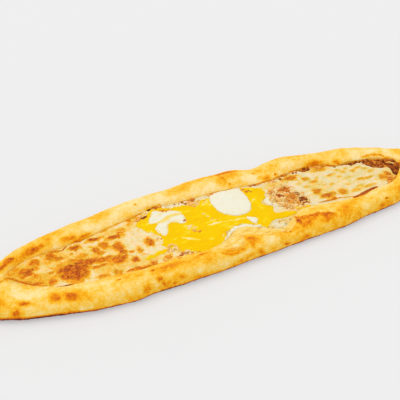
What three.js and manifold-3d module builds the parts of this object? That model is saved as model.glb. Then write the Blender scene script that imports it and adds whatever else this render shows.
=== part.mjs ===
// A pide: a boat-shaped flatbread with its edge rolled up round minced meat, melted cheese and a broken egg.
// Millimetres. +X runs along the boat, +Y towards its far side, +Z up; the flat base lies on Z = 0.
import * as THREE from 'three';
import * as BufferGeometryUtils from 'three/addons/utils/BufferGeometryUtils.js';
import Module from 'manifold-3d';

const wasm = await Module();
wasm.setup();

// Driving sizes of the bread
const halfLength = 250;
const halfWidth = 64;
const endPower = 3;
const endRoundness = 0.7;
const bulgeHeight = 5.5;
const crestHeight = 16;
const crestPlace = 0.44;
const lipHeight = 10.6;
const floorHeight = 5;
const wallRun = 2;
const noseLength = 12;
const noseLift = 0.8;
const base = { inset: 8, mostShare: 0.6, undercutPlace: 0.24, undercutHeight: 0.32 };
const rollTurns = { outside: [0, 22.5, 45, 67.5, 90], inside: [25, 50, 72, 90], insideFullness: 1.3 };
const sections = { half: 40, crowding: 1.25, leastStep: 1, nearHollowEnd: 4 };

// Driving sizes of the hollow that holds the filling
const hollowHalfLength = 208.5;
const hollowMiddle = 1.5;
const hollowHalfWidth = 37;
const hollowRoundness = 0.6;
const hollowEnds = { left: hollowMiddle - hollowHalfLength, right: hollowMiddle + hollowHalfLength };
const seam = { halfWidth: 0.8, depth: 3, floorDrop: 0.8, runUp: 16 };

// Driving sizes of the filling
const gap = 0.35;
const meatTop = 7.8;
const cheeseTop = 10;
const yolkTop = 10.2;
const eggWhiteTop = 12.6;
const swirlTop = 11.2;
const curdTop = 11.4;
const sheetLow = meatTop + gap;
const sheetColumns = 9;
const fillingEnds = { left: hollowEnds.left + 1.5, right: hollowEnds.right - 1.5 };
const tall = 20;

// How uneven each surface is, and the waves that it is uneven by
const unevenness = { edge: 0.7, lip: 0.8, crest: 0.6, cheese: 0.3, yolk: 0.15, strip: 0.35 };
const waves = [
  { height: 0.5, run: 13, shift: 1 }, { height: 0.3, run: 7.3, shift: 2.1 }, { height: 0.2, run: 4.7, shift: 3.7 },
];

// The two long sides: +1 is the far one, -1 the near one
const far = 1;
const near = -1;

// Bumps are { at, reach, push }: where along X, how far they fade, and how far they push
const tipDrift = { left: 7, right: 10 };
const edgeBumps = {
  [far]: [
    { at: -135, reach: 38, push: -2 },
    { at: 12, reach: 40, push: 1.6 },
    { at: 43, reach: 9, push: 1.8 },
    { at: 70, reach: 18, push: -5 },
    { at: 132, reach: 20, push: -4 },
    { at: 194, reach: 12, push: -4.5 },
    { at: 228, reach: 12, push: -4 },
  ],
  [near]: [
    { at: -142, reach: 32, push: 3.2 },
    { at: -110, reach: 10, push: 2 },
    { at: 45, reach: 40, push: -2 },
    { at: 182, reach: 28, push: 5 },
  ],
};
const lipBumps = {
  [far]: [
    { at: -126, reach: 24, push: -3.5 },
    { at: -50, reach: 20, push: 6 },
    { at: 66, reach: 30, push: -7 },
    { at: 130, reach: 12, push: 4 },
    { at: 152, reach: 9, push: -4 },
  ],
  [near]: [
    { at: -100, reach: 20, push: 2 },
    { at: -32, reach: 14, push: 4 },
    { at: 9, reach: 15, push: -12 },
    { at: 45, reach: 13, push: 7 },
    { at: 87, reach: 20, push: -8 },
    { at: 141, reach: 12, push: 4 },
    { at: 180, reach: 22, push: 4.5 },
  ],
};
const crestBumps = {
  [far]: [
    { at: -170, reach: 24, push: 0.8 },
    { at: -50, reach: 16, push: -0.8 },
    { at: 41, reach: 10, push: 1.6 },
    { at: 70, reach: 14, push: -1.2 },
    { at: 110, reach: 18, push: 0.8 },
  ],
  [near]: [
    { at: -190, reach: 20, push: -0.8 },
    { at: -110, reach: 16, push: 0.8 },
    { at: 10, reach: 16, push: 0.8 },
    { at: 47, reach: 13, push: -3.6 },
    { at: 66, reach: 4, push: -1.4 },
    { at: 86, reach: 17, push: 1.2 },
    { at: 146, reach: 14, push: -0.8 },
  ],
};
const hollowShift = [
  { at: -195, reach: 30, push: 9 },
  { at: 155, reach: 25, push: -3 },
];

// Raised blisters of the cheese: { x, y, radius, rise }
const blisters = [
  { x: -186, y: 8, radius: 8, rise: 0.8 },
  { x: -175, y: 17, radius: 6, rise: 0.6 },
  { x: -161, y: 18, radius: 7, rise: 0.6 },
  { x: -150, y: -9, radius: 14, rise: 1 },
  { x: -127, y: -5, radius: 7, rise: 0.5 },
  { x: -117, y: 23, radius: 6, rise: 0.5 },
  { x: -108, y: -12, radius: 8, rise: 0.7 },
  { x: -100, y: 4, radius: 7, rise: 0.5 },
  { x: -73, y: -3, radius: 5, rise: 0.7 },
  { x: 107, y: -8, radius: 6, rise: 0.5 },
  { x: 114, y: -19, radius: 7, rise: 0.6 },
  { x: 129, y: -21, radius: 6, rise: 0.5 },
  { x: 165, y: -14, radius: 7, rise: 0.5 },
];

// Length of one side of a cut outline
const outlineStep = 4;

// Plan outlines of what lies in the hollow, as the few points that a closed smooth curve runs through
const yolkOutline = smoothOutline([
  [-74, 27], [-70, 12], [-61, -1], [-64, -12], [-62, -20], [-50, -31], [-33, -40], [-14, -35], [-3, -24],
  [12, -20], [24, -25], [33, -36], [42, -29], [60, -27], [53, -18], [54, -8], [50, 2], [60, 12], [61, 21],
  [52, 30], [40, 33], [20, 38], [5, 38], [-8, 32], [-20, 33], [-36, 37], [-50, 42], [-60, 35],
]);
const roundWhiteOutline = smoothOutline([
  [3, 18], [5, 29], [14, 34], [29, 34], [39, 30], [41, 20], [38, 3], [32, -6], [23, -8], [13, -5], [6, 5],
]);
const swirlOutline = smoothOutline([
  [-62, 21], [-58, 31], [-51, 38], [-44, 33], [-34, 31], [-28, 25], [-28, 15], [-30, 8], [-34, 6], [-38, 9],
  [-43, 13], [-49, 10], [-52, 2], [-57, -2], [-61, 5],
]);
const edgeWhiteOutline = smoothOutline([
  [33, -38], [37, -33], [45, -31], [54, -31], [61, -34], [61, -39], [56, -43], [47, -46], [37, -44],
]);
const clusterOutline = smoothOutline([
  [63, -6], [62, 8], [70, 15], [82, 15], [89, 8], [92, -4], [91, -18], [82, -22], [68, -21],
]);
const pocketOutline = smoothOutline([
  [183, 15], [181, 4], [188, -4], [196, -8], [198, -14], [204, -11], [207, -2], [203, 6], [194, 10], [189, 14],
]);
// How far the layers reach along X before they are cut to their outlines
const yolkReach = { left: -82, right: 68 };
const cheeseReach = { left: [fillingEnds.left, -50], right: [40, 200] };

// The rounding of a cushion from its foot to its top, and the shape of a strand
const cushionSteps = [
  { inset: 0, height: 0 }, { inset: 0, height: 0.5 }, { inset: 0.35, height: 0.82 }, { inset: 1, height: 1 },
];
const strandShape = { endShare: 0.45, fullness: 0.6, roundness: 0.24 };

const farStrip = { from: 62, to: 178, width: 8, rows: 14 };
const whites = [
  { name: 'egg_white_round', outline: roundWhiteOutline, top: eggWhiteTop, roundness: 5 },
  { name: 'egg_white_swirl', outline: swirlOutline, top: swirlTop, roundness: 2.4 },
  { name: 'egg_white_edge', outline: edgeWhiteOutline, top: curdTop, roundness: 2 },
];
const curds = [
  { name: 'egg_curd_near', width: 6, path: [[-6, -31], [-1, -27], [8, -24], [16, -25], [23, -29], [28, -31]] },
  { name: 'egg_curd_low', width: 7, path: [[25, -14], [27, -19], [27, -24]] },
  { name: 'egg_curd_right', width: 6, path: [[58, 5], [55, 0], [56, -7]] },
];

// Where the minced meat lies bare: its outline, the height of its mound, and its crumbs
const crumbs = {
  seed: 41, draws: 8, leastRadius: 1.8, smallerMore: 1.5, sink: 0.3, width: [0.85, 1.25], height: [0.6, 0.8],
};
const mound = { foot: meatTop - 1, roundness: 1.8 };
const bareMeat = [
  { outline: clusterOutline, top: 9.4, count: 34, largest: 3.4 },
  { outline: pocketOutline, top: 9, count: 16, largest: 4 },
  { outline: stripOutline(), top: 8.8, count: 28, largest: 2.8 },
];

const finishes = {
  crust: { color: '#f5c765', roughness: 0.75 },
  meat: { color: '#8a4a24', roughness: 0.7 },
  cheese: { color: '#f2d79e', roughness: 0.5 },
  yolk: { color: '#f9cf1e', roughness: 0.3 },
  eggWhite: { color: '#f3eed6', roughness: 0.35 },
};

const stations = sectionPlaces();
const fillingStations = stations.filter((x) => x >= fillingEnds.left && x <= fillingEnds.right);

function bump(list, x) {
  return list.reduce((sum, { at, reach, push }) => sum + push * Math.exp(-(((x - at) / reach) ** 2)), 0);
}

// A gentle unevenness along the bread, between about -1 and 1; each surface has its own phase
function waver(x, phase) {
  return waves.reduce((sum, { height, run, shift }) => sum + height * Math.sin(x / run + shift * phase), 0);
}

function smoothStep(from, to, x) {
  return THREE.MathUtils.smoothstep(x, from, to);
}

function endTaper(x) {
  return (1 - Math.min(Math.abs(x) / halfLength, 1) ** endPower) ** endRoundness;
}

function midline(x) {
  const drift = x < 0 ? tipDrift.left : tipDrift.right;
  return 1 - drift * Math.abs(x / halfLength) ** 3;
}

function outerEdge(x, side) {
  const taper = endTaper(x);
  const wander = bump(edgeBumps[side], x) + unevenness.edge * waver(x, side);
  return midline(x) + side * (halfWidth + wander) * taper;
}

function lip(x, side) {
  const u = Math.min(Math.abs(x - hollowMiddle) / hollowHalfLength, 1);
  const taper = (1 - u ** endPower) ** hollowRoundness;
  const wander = bump(lipBumps[side], x) + unevenness.lip * waver(x, 2 + side);
  const half = seam.halfWidth + (hollowHalfWidth - seam.halfWidth + wander) * taper;
  return midline(x) + bump(hollowShift, x) + side * half;
}

// How far the rolled edge has risen towards its full height, which it loses over the nose at each tip
function noseRise(x) {
  const half = halfWidth * endTaper(x);
  return Math.sqrt(1 - (1 - Math.min(half / noseLength, 1)) ** 2);
}

function crest(x, side) {
  const full = crestHeight + bump(crestBumps[side], x) + unevenness.crest * waver(x, 5 + side);
  return bulgeHeight + (full - bulgeHeight) * noseRise(x);
}

// 0 along the hollow, 1 past its ends, where the two rolled edges meet in a seam
function closing(x) {
  return 1 - smoothStep(hollowEnds.left, hollowEnds.left + seam.runUp, x)
    + smoothStep(hollowEnds.right - seam.runUp, hollowEnds.right, x);
}

function lipTop(x) {
  const lipLevel = THREE.MathUtils.lerp(lipHeight, crestHeight - seam.depth, closing(x));
  return bulgeHeight + (lipLevel - bulgeHeight) * noseRise(x);
}

function hollowFloor(x) {
  return THREE.MathUtils.lerp(floorHeight, lipTop(x) - seam.floorDrop, closing(x) ** 2);
}

// How far the wall of the hollow leans in from lip to floor
function wallOf(x) {
  return Math.min(wallRun, (lip(x, far) - lip(x, near)) / 4);
}

// Half of the bread's section: from the base's edge, round the rolled edge, down to the hollow's floor
function halfSection(x, side) {
  const edge = outerEdge(x, side);
  const inner = lip(x, side);
  const top = crest(x, side);
  const lipLevel = lipTop(x);
  const across = inner - edge;
  const inset = Math.min(base.inset, Math.abs(edge - midline(x)) * base.mostShare);
  const low = bulgeHeight * (1 - noseRise(x)) * noseLift;
  const points = [
    [edge - side * inset, low],
    [edge - side * inset * base.undercutPlace, THREE.MathUtils.lerp(low, bulgeHeight, base.undercutHeight)],
  ];
  for (const turn of rollTurns.outside) {
    const angle = THREE.MathUtils.degToRad(turn);
    const place = crestPlace * (1 - Math.cos(angle));
    points.push([edge + across * place, THREE.MathUtils.lerp(bulgeHeight, top, Math.sin(angle))]);
  }
  for (const turn of rollTurns.inside) {
    const angle = THREE.MathUtils.degToRad(turn);
    const place = THREE.MathUtils.lerp(crestPlace, 1, Math.sin(angle));
    const height = Math.max(Math.cos(angle), 0) ** rollTurns.insideFullness;
    points.push([edge + across * place, THREE.MathUtils.lerp(lipLevel, top, height)]);
  }
  points.push([inner - side * wallOf(x), hollowFloor(x)]);
  return points.map(([y, z]) => new THREE.Vector3(x, y, z));
}

// Places of the sections along X, closer together towards the tips
function sectionPlaces() {
  const places = [];
  for (let i = 1 - sections.half; i < sections.half; i++) {
    const share = i / sections.half;
    places.push(halfLength * Math.sign(share) * (1 - (1 - Math.abs(share)) ** sections.crowding));
  }
  const fixed = [
    hollowEnds.left, fillingEnds.left, hollowEnds.left + sections.nearHollowEnd,
    hollowEnds.right - sections.nearHollowEnd, fillingEnds.right, hollowEnds.right,
  ];
  const clear = places.filter((x) => fixed.every((place) => Math.abs(x - place) > sections.leastStep));
  return [...clear, ...fixed].sort((a, b) => a - b);
}

function breadSection(x) {
  const middle = (lip(x, far) + lip(x, near)) / 2;
  const floor = new THREE.Vector3(x, middle, hollowFloor(x));
  return [...halfSection(x, near), floor, ...halfSection(x, far).reverse()];
}

// Closed smooth curve through plan points, as a ring of plan vectors that runs anticlockwise
function smoothOutline(points) {
  const curve = new THREE.CatmullRomCurve3(points.map(([x, y]) => new THREE.Vector3(x, y, 0)), true);
  const ring = curve.getSpacedPoints(Math.round(curve.getLength() / outlineStep)).slice(0, -1);
  const plan = ring.map(({ x, y }) => new THREE.Vector2(x, y));
  return THREE.ShapeUtils.isClockWise(plan) ? plan.reverse() : plan;
}

// The ring moved outwards by a distance, or inwards by a negative one
function grow(outline, distance) {
  return outline.map((point, i) => {
    const before = outline[(i + outline.length - 1) % outline.length];
    const after = outline[(i + 1) % outline.length];
    const along = after.clone().sub(before).normalize();
    return new THREE.Vector2(point.x + along.y * distance, point.y - along.x * distance);
  });
}

function atHeight(outline, height) {
  return outline.map(({ x, y }) => new THREE.Vector3(x, y, height));
}

// Closed solid through rings of equal length; a first or last ring of one point is a tip
function loft(rings) {
  const vertices = rings.flat();
  const triangles = [];
  const starts = [];
  rings.reduce((start, ring) => {
    starts.push(start);
    return start + ring.length;
  }, 0);
  for (let i = 0; i + 1 < rings.length; i++) {
    const count = Math.max(rings[i].length, rings[i + 1].length);
    for (let j = 0; j < count; j++) {
      const k = (j + 1) % count;
      const [a, b] = rings[i].length === 1 ? [starts[i], starts[i]] : [starts[i] + j, starts[i] + k];
      const next = starts[i + 1];
      const [c, d] = rings[i + 1].length === 1 ? [next, next] : [next + j, next + k];
      if (a !== b) {
        triangles.push([a, b, d]);
      }
      if (c !== d) {
        triangles.push([a, d, c]);
      }
    }
  }
  for (const [i, flip] of [[0, true], [rings.length - 1, false]]) {
    if (rings[i].length > 1) {
      for (const [a, b, c] of capFaces(rings[i])) {
        const face = [starts[i] + a, starts[i] + b, starts[i] + c];
        triangles.push(flip ? face.reverse() : face);
      }
    }
  }
  return solid(vertices, triangles);
}

// Faces that fill a flat ring, which lies level or stands across X
function capFaces(ring) {
  const level = ring.every(({ z }) => Math.abs(z - ring[0].z) < 1e-6);
  const flat = ring.map(({ x, y, z }) => (level ? new THREE.Vector2(x, y) : new THREE.Vector2(y, z)));
  const clockwise = THREE.ShapeUtils.isClockWise(flat);
  const faces = THREE.ShapeUtils.triangulateShape(flat, []);
  return clockwise ? faces.map(([a, b, c]) => [c, b, a]) : faces;
}

function solid(vertices, triangles) {
  const volume = triangles.reduce((sum, [a, b, c]) => {
    return sum + vertices[a].dot(vertices[b].clone().cross(vertices[c]));
  }, 0);
  const faces = volume < 0 ? triangles.map(([a, b, c]) => [a, c, b]) : triangles;
  const vertProperties = new Float32Array(vertices.flatMap(({ x, y, z }) => [x, y, z]));
  const triVerts = new Uint32Array(faces.flat());
  return new wasm.Manifold(new wasm.Mesh({ numProp: 3, vertProperties, triVerts }));
}

function prism(outline, low, high) {
  return loft([atHeight(outline, low), atHeight(outline, high)]);
}

// A soft-edged cushion over an outline, from a level underside to a rounded top
function cushion(outline, low, high, roundness) {
  return loft(cushionSteps.map(({ inset, height }) => {
    return atHeight(grow(outline, -inset * roundness), THREE.MathUtils.lerp(low, high, height));
  }));
}

// A soft strand along a plan path, flat below, narrower at its ends
function strand(path, width, low, high) {
  const curve = new THREE.CatmullRomCurve3(path.map(([x, y]) => new THREE.Vector3(x, y, 0)));
  const steps = 2 * path.length;
  const left = [];
  const right = [];
  for (let i = 0; i <= steps; i++) {
    const point = curve.getPointAt(i / steps);
    const along = curve.getTangentAt(i / steps);
    const fullness = Math.sin((Math.PI * i) / steps) ** strandShape.fullness;
    const half = 0.5 * width * THREE.MathUtils.lerp(strandShape.endShare, 1, fullness);
    left.push(new THREE.Vector2(point.x - along.y * half, point.y + along.x * half));
    right.push(new THREE.Vector2(point.x + along.y * half, point.y - along.x * half));
  }
  return cushion([...right, ...left.reverse()], low, high, strandShape.roundness * width);
}

// The free space in the hollow: clear of its floor and walls, and open above
function makeHollow() {
  return loft(fillingStations.map((x) => {
    const low = hollowFloor(x) + gap;
    const ring = [];
    for (const side of [far, near]) {
      const edge = lip(x, side) - side * gap;
      const foot = edge - side * wallOf(x);
      const points = [[foot, low], [edge, lipTop(x)], [edge, tall]];
      ring.push(...(side === far ? points.reverse() : points));
    }
    return ring.map(([y, z]) => new THREE.Vector3(x, y, z));
  }));
}

// A layer of filling over the hollow, with a top that follows a height function of x and y
function layer(from, to, low, topOf, columns) {
  const rings = fillingStations.filter((x) => x >= from && x <= to).map((x) => {
    const [nearSide, farSide] = [lip(x, near) - 1, lip(x, far) + 1];
    const ring = [new THREE.Vector3(x, farSide, low), new THREE.Vector3(x, nearSide, low)];
    for (let j = 0; j <= columns; j++) {
      const y = THREE.MathUtils.lerp(nearSide, farSide, j / columns);
      ring.push(new THREE.Vector3(x, y, topOf(x, y)));
    }
    return ring;
  });
  return loft(rings).intersect(hollow);
}

function cheeseHeight(x, y) {
  const raised = blisters.reduce((sum, spot) => {
    const away = Math.hypot(x - spot.x, y - spot.y) / spot.radius;
    return sum + spot.rise * Math.exp(-(away ** 4));
  }, 0);
  return cheeseTop + unevenness.cheese * waver(x, y / 6) + raised;
}

function yolkHeight(x, y) {
  return yolkTop + unevenness.yolk * waver(x, y / 9);
}

// The band of bare meat along the far lip
function stripOutline() {
  const outer = [];
  const inner = [];
  for (let i = 0; i <= farStrip.rows; i++) {
    const x = THREE.MathUtils.lerp(farStrip.from, farStrip.to, i / farStrip.rows);
    const width = farStrip.width * (1 + unevenness.strip * waver(x, 1));
    outer.push(new THREE.Vector2(x, lip(x, far) + 1));
    inner.push(new THREE.Vector2(x, lip(x, far) - width));
  }
  return [...inner, ...outer.reverse()];
}

// One crumb: a knobbly lump of few faces
function crumb(x, y, z, radius, random) {
  const geometry = new THREE.IcosahedronGeometry(radius, 0);
  geometry.rotateX(random() * Math.PI);
  geometry.rotateZ(random() * Math.PI);
  const size = [crumbs.width, crumbs.width, crumbs.height].map(([least, most]) => {
    return THREE.MathUtils.lerp(least, most, random());
  });
  geometry.scale(...size);
  geometry.translate(x, y, z);
  return fromGeometry(geometry);
}

function fromGeometry(geometry) {
  const bare = geometry.clone();
  bare.deleteAttribute('normal');
  bare.deleteAttribute('uv');
  const merged = BufferGeometryUtils.mergeVertices(bare, 1e-3);
  const triVerts = new Uint32Array(merged.index.array);
  const vertProperties = new Float32Array(merged.attributes.position.array);
  return new wasm.Manifold(new wasm.Mesh({ numProp: 3, vertProperties, triVerts }));
}

function toGeometry(manifold) {
  const mesh = manifold.getMesh();
  const geometry = new THREE.BufferGeometry();
  geometry.setAttribute('position', new THREE.BufferAttribute(new Float32Array(mesh.vertProperties), 3));
  geometry.setIndex(new THREE.BufferAttribute(new Uint32Array(mesh.triVerts), 1));
  return geometry;
}

function seededRandom(seed) {
  let state = seed;
  return () => {
    state = (state * 1664525 + 1013904223) % 4294967296;
    return state / 4294967296;
  };
}

function holds(outline, x, y) {
  let within = false;
  outline.forEach((a, i) => {
    const b = outline[(i + 1) % outline.length];
    if (a.y > y !== b.y > y && x < a.x + ((b.x - a.x) * (y - a.y)) / (b.y - a.y)) {
      within = !within;
    }
  });
  return within;
}

// Crumb centres spread over an outline, each as far from the others as a few draws allow
function scatter(outline, count, random) {
  const box = new THREE.Box2().setFromPoints(outline);
  const places = [];
  while (places.length < count) {
    let best = null;
    let bestClear = -1;
    for (let draw = 0; draw < crumbs.draws; draw++) {
      const x = THREE.MathUtils.lerp(box.min.x, box.max.x, random());
      const y = THREE.MathUtils.lerp(box.min.y, box.max.y, random());
      const clear = Math.min(...places.map((place) => place.distanceTo(new THREE.Vector2(x, y))), 1000);
      if (holds(outline, x, y) && clear > bestClear) {
        best = new THREE.Vector2(x, y);
        bestClear = clear;
      }
    }
    if (best) {
      places.push(best);
    }
  }
  return places;
}

// Bread
function makeBread() {
  const tip = (x) => [new THREE.Vector3(x, midline(x), bulgeHeight)];
  return loft([tip(-halfLength), ...stations.map(breadSection), tip(halfLength)]);
}

// A mound of bare meat within an outline, with crumbs on it that stay within the same outline
function makeMound({ outline, top, count, largest }, random) {
  const lumps = [cushion(outline, mound.foot, top, mound.roundness)];
  for (const { x, y } of scatter(grow(outline, -crumbs.leastRadius), count, random)) {
    const radius = THREE.MathUtils.lerp(crumbs.leastRadius, largest, random() ** crumbs.smallerMore);
    lumps.push(crumb(x, y, top - crumbs.sink, radius, random));
  }
  return wasm.Manifold.union(lumps).intersect(prism(outline, 0, tall));
}

// Minced meat: a flat bed, and mounds where no cheese covers it
function makeMeat() {
  const random = seededRandom(crumbs.seed);
  const bed = layer(fillingEnds.left, fillingEnds.right, 0, () => meatTop, 1);
  const mounds = bareMeat.map((field) => makeMound(field, random));
  return wasm.Manifold.union([bed, ...mounds]).intersect(hollow);
}

// The space that the pieces of egg white take, with the gap round them
function whiteSpace() {
  const rounds = whites.map(({ outline }) => prism(grow(outline, gap), 0, tall));
  const strands = curds.map((curd) => strand(curd.path, curd.width + 2 * gap, 0, tall));
  return wasm.Manifold.union([...rounds, ...strands]);
}

function makeCheese(from, to) {
  const openings = [yolkOutline, ...bareMeat.map(({ outline }) => outline)];
  const cut = wasm.Manifold.union(openings.map((outline) => prism(grow(outline, gap), 0, tall)));
  const sheet = layer(from, to, sheetLow, cheeseHeight, sheetColumns);
  return largestPiece(sheet.subtract(cut).subtract(whiteSpace()));
}

function makeYolk() {
  const sheet = layer(yolkReach.left, yolkReach.right, sheetLow, yolkHeight, sheetColumns);
  return largestPiece(sheet.intersect(prism(yolkOutline, 0, tall)).subtract(whiteSpace()));
}

// Drops the slivers that a cut leaves along a lip
function largestPiece(manifold) {
  const pieces = manifold.decompose();
  return pieces.reduce((best, piece) => (piece.volume() > best.volume() ? piece : best));
}

const object = new THREE.Group();
function addPiece(name, manifold, { color, roughness }) {
  const material = new THREE.MeshStandardMaterial({ color, roughness, metalness: 0 });
  const mesh = new THREE.Mesh(toGeometry(manifold), material);
  mesh.name = name;
  object.add(mesh);
}

const hollow = makeHollow();
addPiece('bread', makeBread(), finishes.crust);
addPiece('meat', makeMeat(), finishes.meat);
addPiece('cheese_left', makeCheese(...cheeseReach.left), finishes.cheese);
addPiece('cheese_right', makeCheese(...cheeseReach.right), finishes.cheese);
addPiece('egg_yolk', makeYolk(), finishes.yolk);
for (const { name, outline, top, roundness } of whites) {
  addPiece(name, cushion(outline, sheetLow, top, roundness).intersect(hollow), finishes.eggWhite);
}
for (const { name, path, width } of curds) {
  addPiece(name, strand(path, width, sheetLow, curdTop).intersect(hollow), finishes.eggWhite);
}

// The origin is the middle of the bread's box, on the base
const middle = new THREE.Box3().setFromObject(object).getCenter(new THREE.Vector3());
object.position.set(-middle.x, -middle.y, 0);

export default object;
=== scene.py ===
import bpy
import numpy as np
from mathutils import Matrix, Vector


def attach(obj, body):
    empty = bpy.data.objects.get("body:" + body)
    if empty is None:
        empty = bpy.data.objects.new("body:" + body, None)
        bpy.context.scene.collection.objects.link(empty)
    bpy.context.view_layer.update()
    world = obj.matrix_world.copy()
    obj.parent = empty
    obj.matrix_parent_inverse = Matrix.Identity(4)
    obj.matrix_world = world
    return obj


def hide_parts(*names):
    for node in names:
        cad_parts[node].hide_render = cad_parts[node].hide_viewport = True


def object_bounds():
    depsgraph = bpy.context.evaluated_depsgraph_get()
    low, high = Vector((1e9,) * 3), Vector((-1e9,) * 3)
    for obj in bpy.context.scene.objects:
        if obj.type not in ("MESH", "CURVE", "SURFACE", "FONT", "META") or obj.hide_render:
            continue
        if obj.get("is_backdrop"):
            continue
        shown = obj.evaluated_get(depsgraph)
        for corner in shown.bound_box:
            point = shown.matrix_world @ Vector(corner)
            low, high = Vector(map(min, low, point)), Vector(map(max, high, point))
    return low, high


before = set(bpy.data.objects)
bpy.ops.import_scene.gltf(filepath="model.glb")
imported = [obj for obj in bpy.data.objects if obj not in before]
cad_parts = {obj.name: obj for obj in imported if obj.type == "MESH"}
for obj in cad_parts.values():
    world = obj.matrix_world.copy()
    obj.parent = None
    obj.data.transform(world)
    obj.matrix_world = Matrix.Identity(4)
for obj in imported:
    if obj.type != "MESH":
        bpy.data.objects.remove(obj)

cadLow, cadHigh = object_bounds()

# Shapes are worked out in millimetres about the dough's middle line, which runs left to right along X.
# The frame's origin is the middle of the dough's box, a little to the far side of that line.
mm = 0.001
middleShift = Vector((0, -1.907, 0))
far, near = 1, -1
tiny, huge = 1e-9, 1e9
print("frame loaded:", len(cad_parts), "nodes")


# Soft noise, for everything that is uneven
noiseShape = {
    "seed": 7, "cells": 40,
    "seedStep": (3.7, 7.1, 5.3),  # how far each seed moves the pattern
    "layers": 3, "finer": 2.1, "weaker": 0.5,  # each layer against the one before it
}
noiseTable = np.random.default_rng(noiseShape["seed"]).random([noiseShape["cells"]] * 3)


def blend(a, b, t):
    return a + (b - a) * t


def ease(t):
    return t * t * (3 - 2 * t)


def smoothStep(low, high, x):
    return ease(np.clip((x - low) / (high - low), 0, 1))


def softNoise(points, size, seed):
    # from -1 to 1, in lumps about size across
    p = points / size + np.array(noiseShape["seedStep"]) * (seed + 1)
    cell = np.floor(p).astype(int)
    t = ease(p - cell)
    total = 0
    for corner in range(8):
        pick = np.array([corner & 1, corner >> 1 & 1, corner >> 2 & 1])
        weight = np.where(pick == 1, t, 1 - t).prod(axis=-1)
        at = (cell + pick) % len(noiseTable)
        total = total + weight * noiseTable[at[..., 0], at[..., 1], at[..., 2]]
    return 2 * total - 1


def layeredNoise(points, size, seed):
    layers = range(noiseShape["layers"])
    weights = [noiseShape["weaker"] ** i for i in layers]
    total = sum(softNoise(points, size / noiseShape["finer"] ** i, seed + i) * weights[i] for i in layers)
    return total / sum(weights)


def addLayers(layers, points, seed):
    # each layer is (size, how much)
    return sum(amount * layeredNoise(points, size, seed + i) for i, (size, amount) in enumerate(layers))


def planPoints(x, y):
    return np.stack(np.broadcast_arrays(x, y, 0.0), -1)


def planNoise(x, y, size, seed):
    return layeredNoise(planPoints(x, y), size, seed)


def planLayers(layers, x, y, seed):
    return addLayers(layers, planPoints(x, y), seed)


def patchy(shape, x, y, seed):
    # an even value with soft patches over it: (value, size of the patches, how much)
    middle, size, amount = shape
    return middle + amount * planNoise(x, y, size, seed)


def raggedPlan(ragged, x, y, seed):
    # moves each point a little, so that drawn shapes get ragged edges: (size, how far)
    size, push = ragged
    return x + push * planNoise(x, y, size, seed), y + push * planNoise(x, y, size, seed + 1)


def hills(places, x):
    # each place is (where along X, how far it fades, how far it pushes)
    return sum(push * np.exp(-(((x - at) / reach) ** 2)) for at, reach, push in places)


def waver(x, phase):
    # wanders to and fro by up to 1: each wave is (height, how long, how far the phase shifts it)
    waves = [(0.5, 13, 1), (0.3, 7.3, 2.1), (0.2, 4.7, 3.7)]
    return sum(height * np.sin(x / run + shift * phase) for height, run, shift in waves)


def spots(places, x, y, softness, uneven=0):
    # each spot is (x, y, half its length, half its width, strength); the strongest one wins
    cover = np.zeros(np.broadcast(x, y).shape)
    for atX, atY, halfX, halfY, strength in places:
        away = np.hypot((x - atX) / halfX, (y - atY) / halfY) * (1 + uneven)
        cover = np.maximum(cover, strength * (1 - smoothStep(1 - softness, 1 + softness, away)))
    return cover


def lineDistance(ends, x, y):
    (ax, ay), (bx, by) = ends
    dx, dy = bx - ax, by - ay
    t = np.clip(((x - ax) * dx + (y - ay) * dy) / max(dx * dx + dy * dy, tiny), 0, 1)
    return np.hypot(x - ax - t * dx, y - ay - t * dy), t


def strandDepth(path, width, x, y):
    # how far inside a soft strand of that width a point lies; at its ends it is half as wide
    fullness = 0.6
    deepest = np.full(np.broadcast(x, y).shape, -huge)
    count = len(path) - 1
    for i in range(count):
        away, t = lineDistance((path[i], path[i + 1]), x, y)
        share = (i + t) / count
        half = width / 2 * (0.5 + 0.5 * np.sin(np.pi * share) ** fullness)
        deepest = np.maximum(deepest, half - away)
    return deepest


def strandCover(strands, edge, x, y):
    # each strand is (path, width, strength); edge is (how far outside a strand it begins to show, the share
    # of its width at which it is full); the strongest one wins
    outside, full = edge
    cover = np.zeros(np.broadcast(x, y).shape)
    for path, width, strength in strands:
        inside = strandDepth(path, width, x, y)
        cover = np.maximum(cover, strength * smoothStep(-outside, width * full, inside))
    return cover


# Mesh making

def tubeFaces(rows, columns):
    # the index of each point and of the one beside it, and the faces, for rows of points that close round
    index = np.arange(rows * columns).reshape(rows, columns)
    beside = np.roll(index, -1, 1)
    faces = np.stack([index[:-1], index[1:], beside[1:], beside[:-1]], -1).reshape(-1, 4).tolist()
    return index, beside, faces


def addMesh(name, points, faces, values):
    mesh = bpy.data.meshes.new(name)
    placed = points.reshape(-1, 3) * mm + np.array(middleShift) * mm
    mesh.from_pydata(placed.tolist(), [], [list(map(int, face)) for face in faces])
    mesh.polygons.foreach_set("use_smooth", np.ones(len(mesh.polygons), bool))
    for key, value in values.items():
        field = mesh.attributes.new(key, "FLOAT", "POINT")
        field.data.foreach_set("value", np.asarray(value, np.float32).ravel())
    mesh.update()
    piece = bpy.data.objects.new(name, mesh)
    bpy.context.scene.collection.objects.link(piece)
    return piece


def finishPiece(piece, material, slot, *nodes):
    piece.data.materials.append(material)
    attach(piece, "root")
    if nodes:
        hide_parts(*nodes)
    print(piece.name + ":", len(piece.data.polygons), "faces")


# Material making

def linear(colour):
    # a colour as 0 to 255, as it looks on a screen, to the values that light works with
    share = np.array(colour) / 255
    return tuple(np.where(share <= 0.04045, share / 12.92, ((share + 0.055) / 1.055) ** 2.4))


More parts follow.
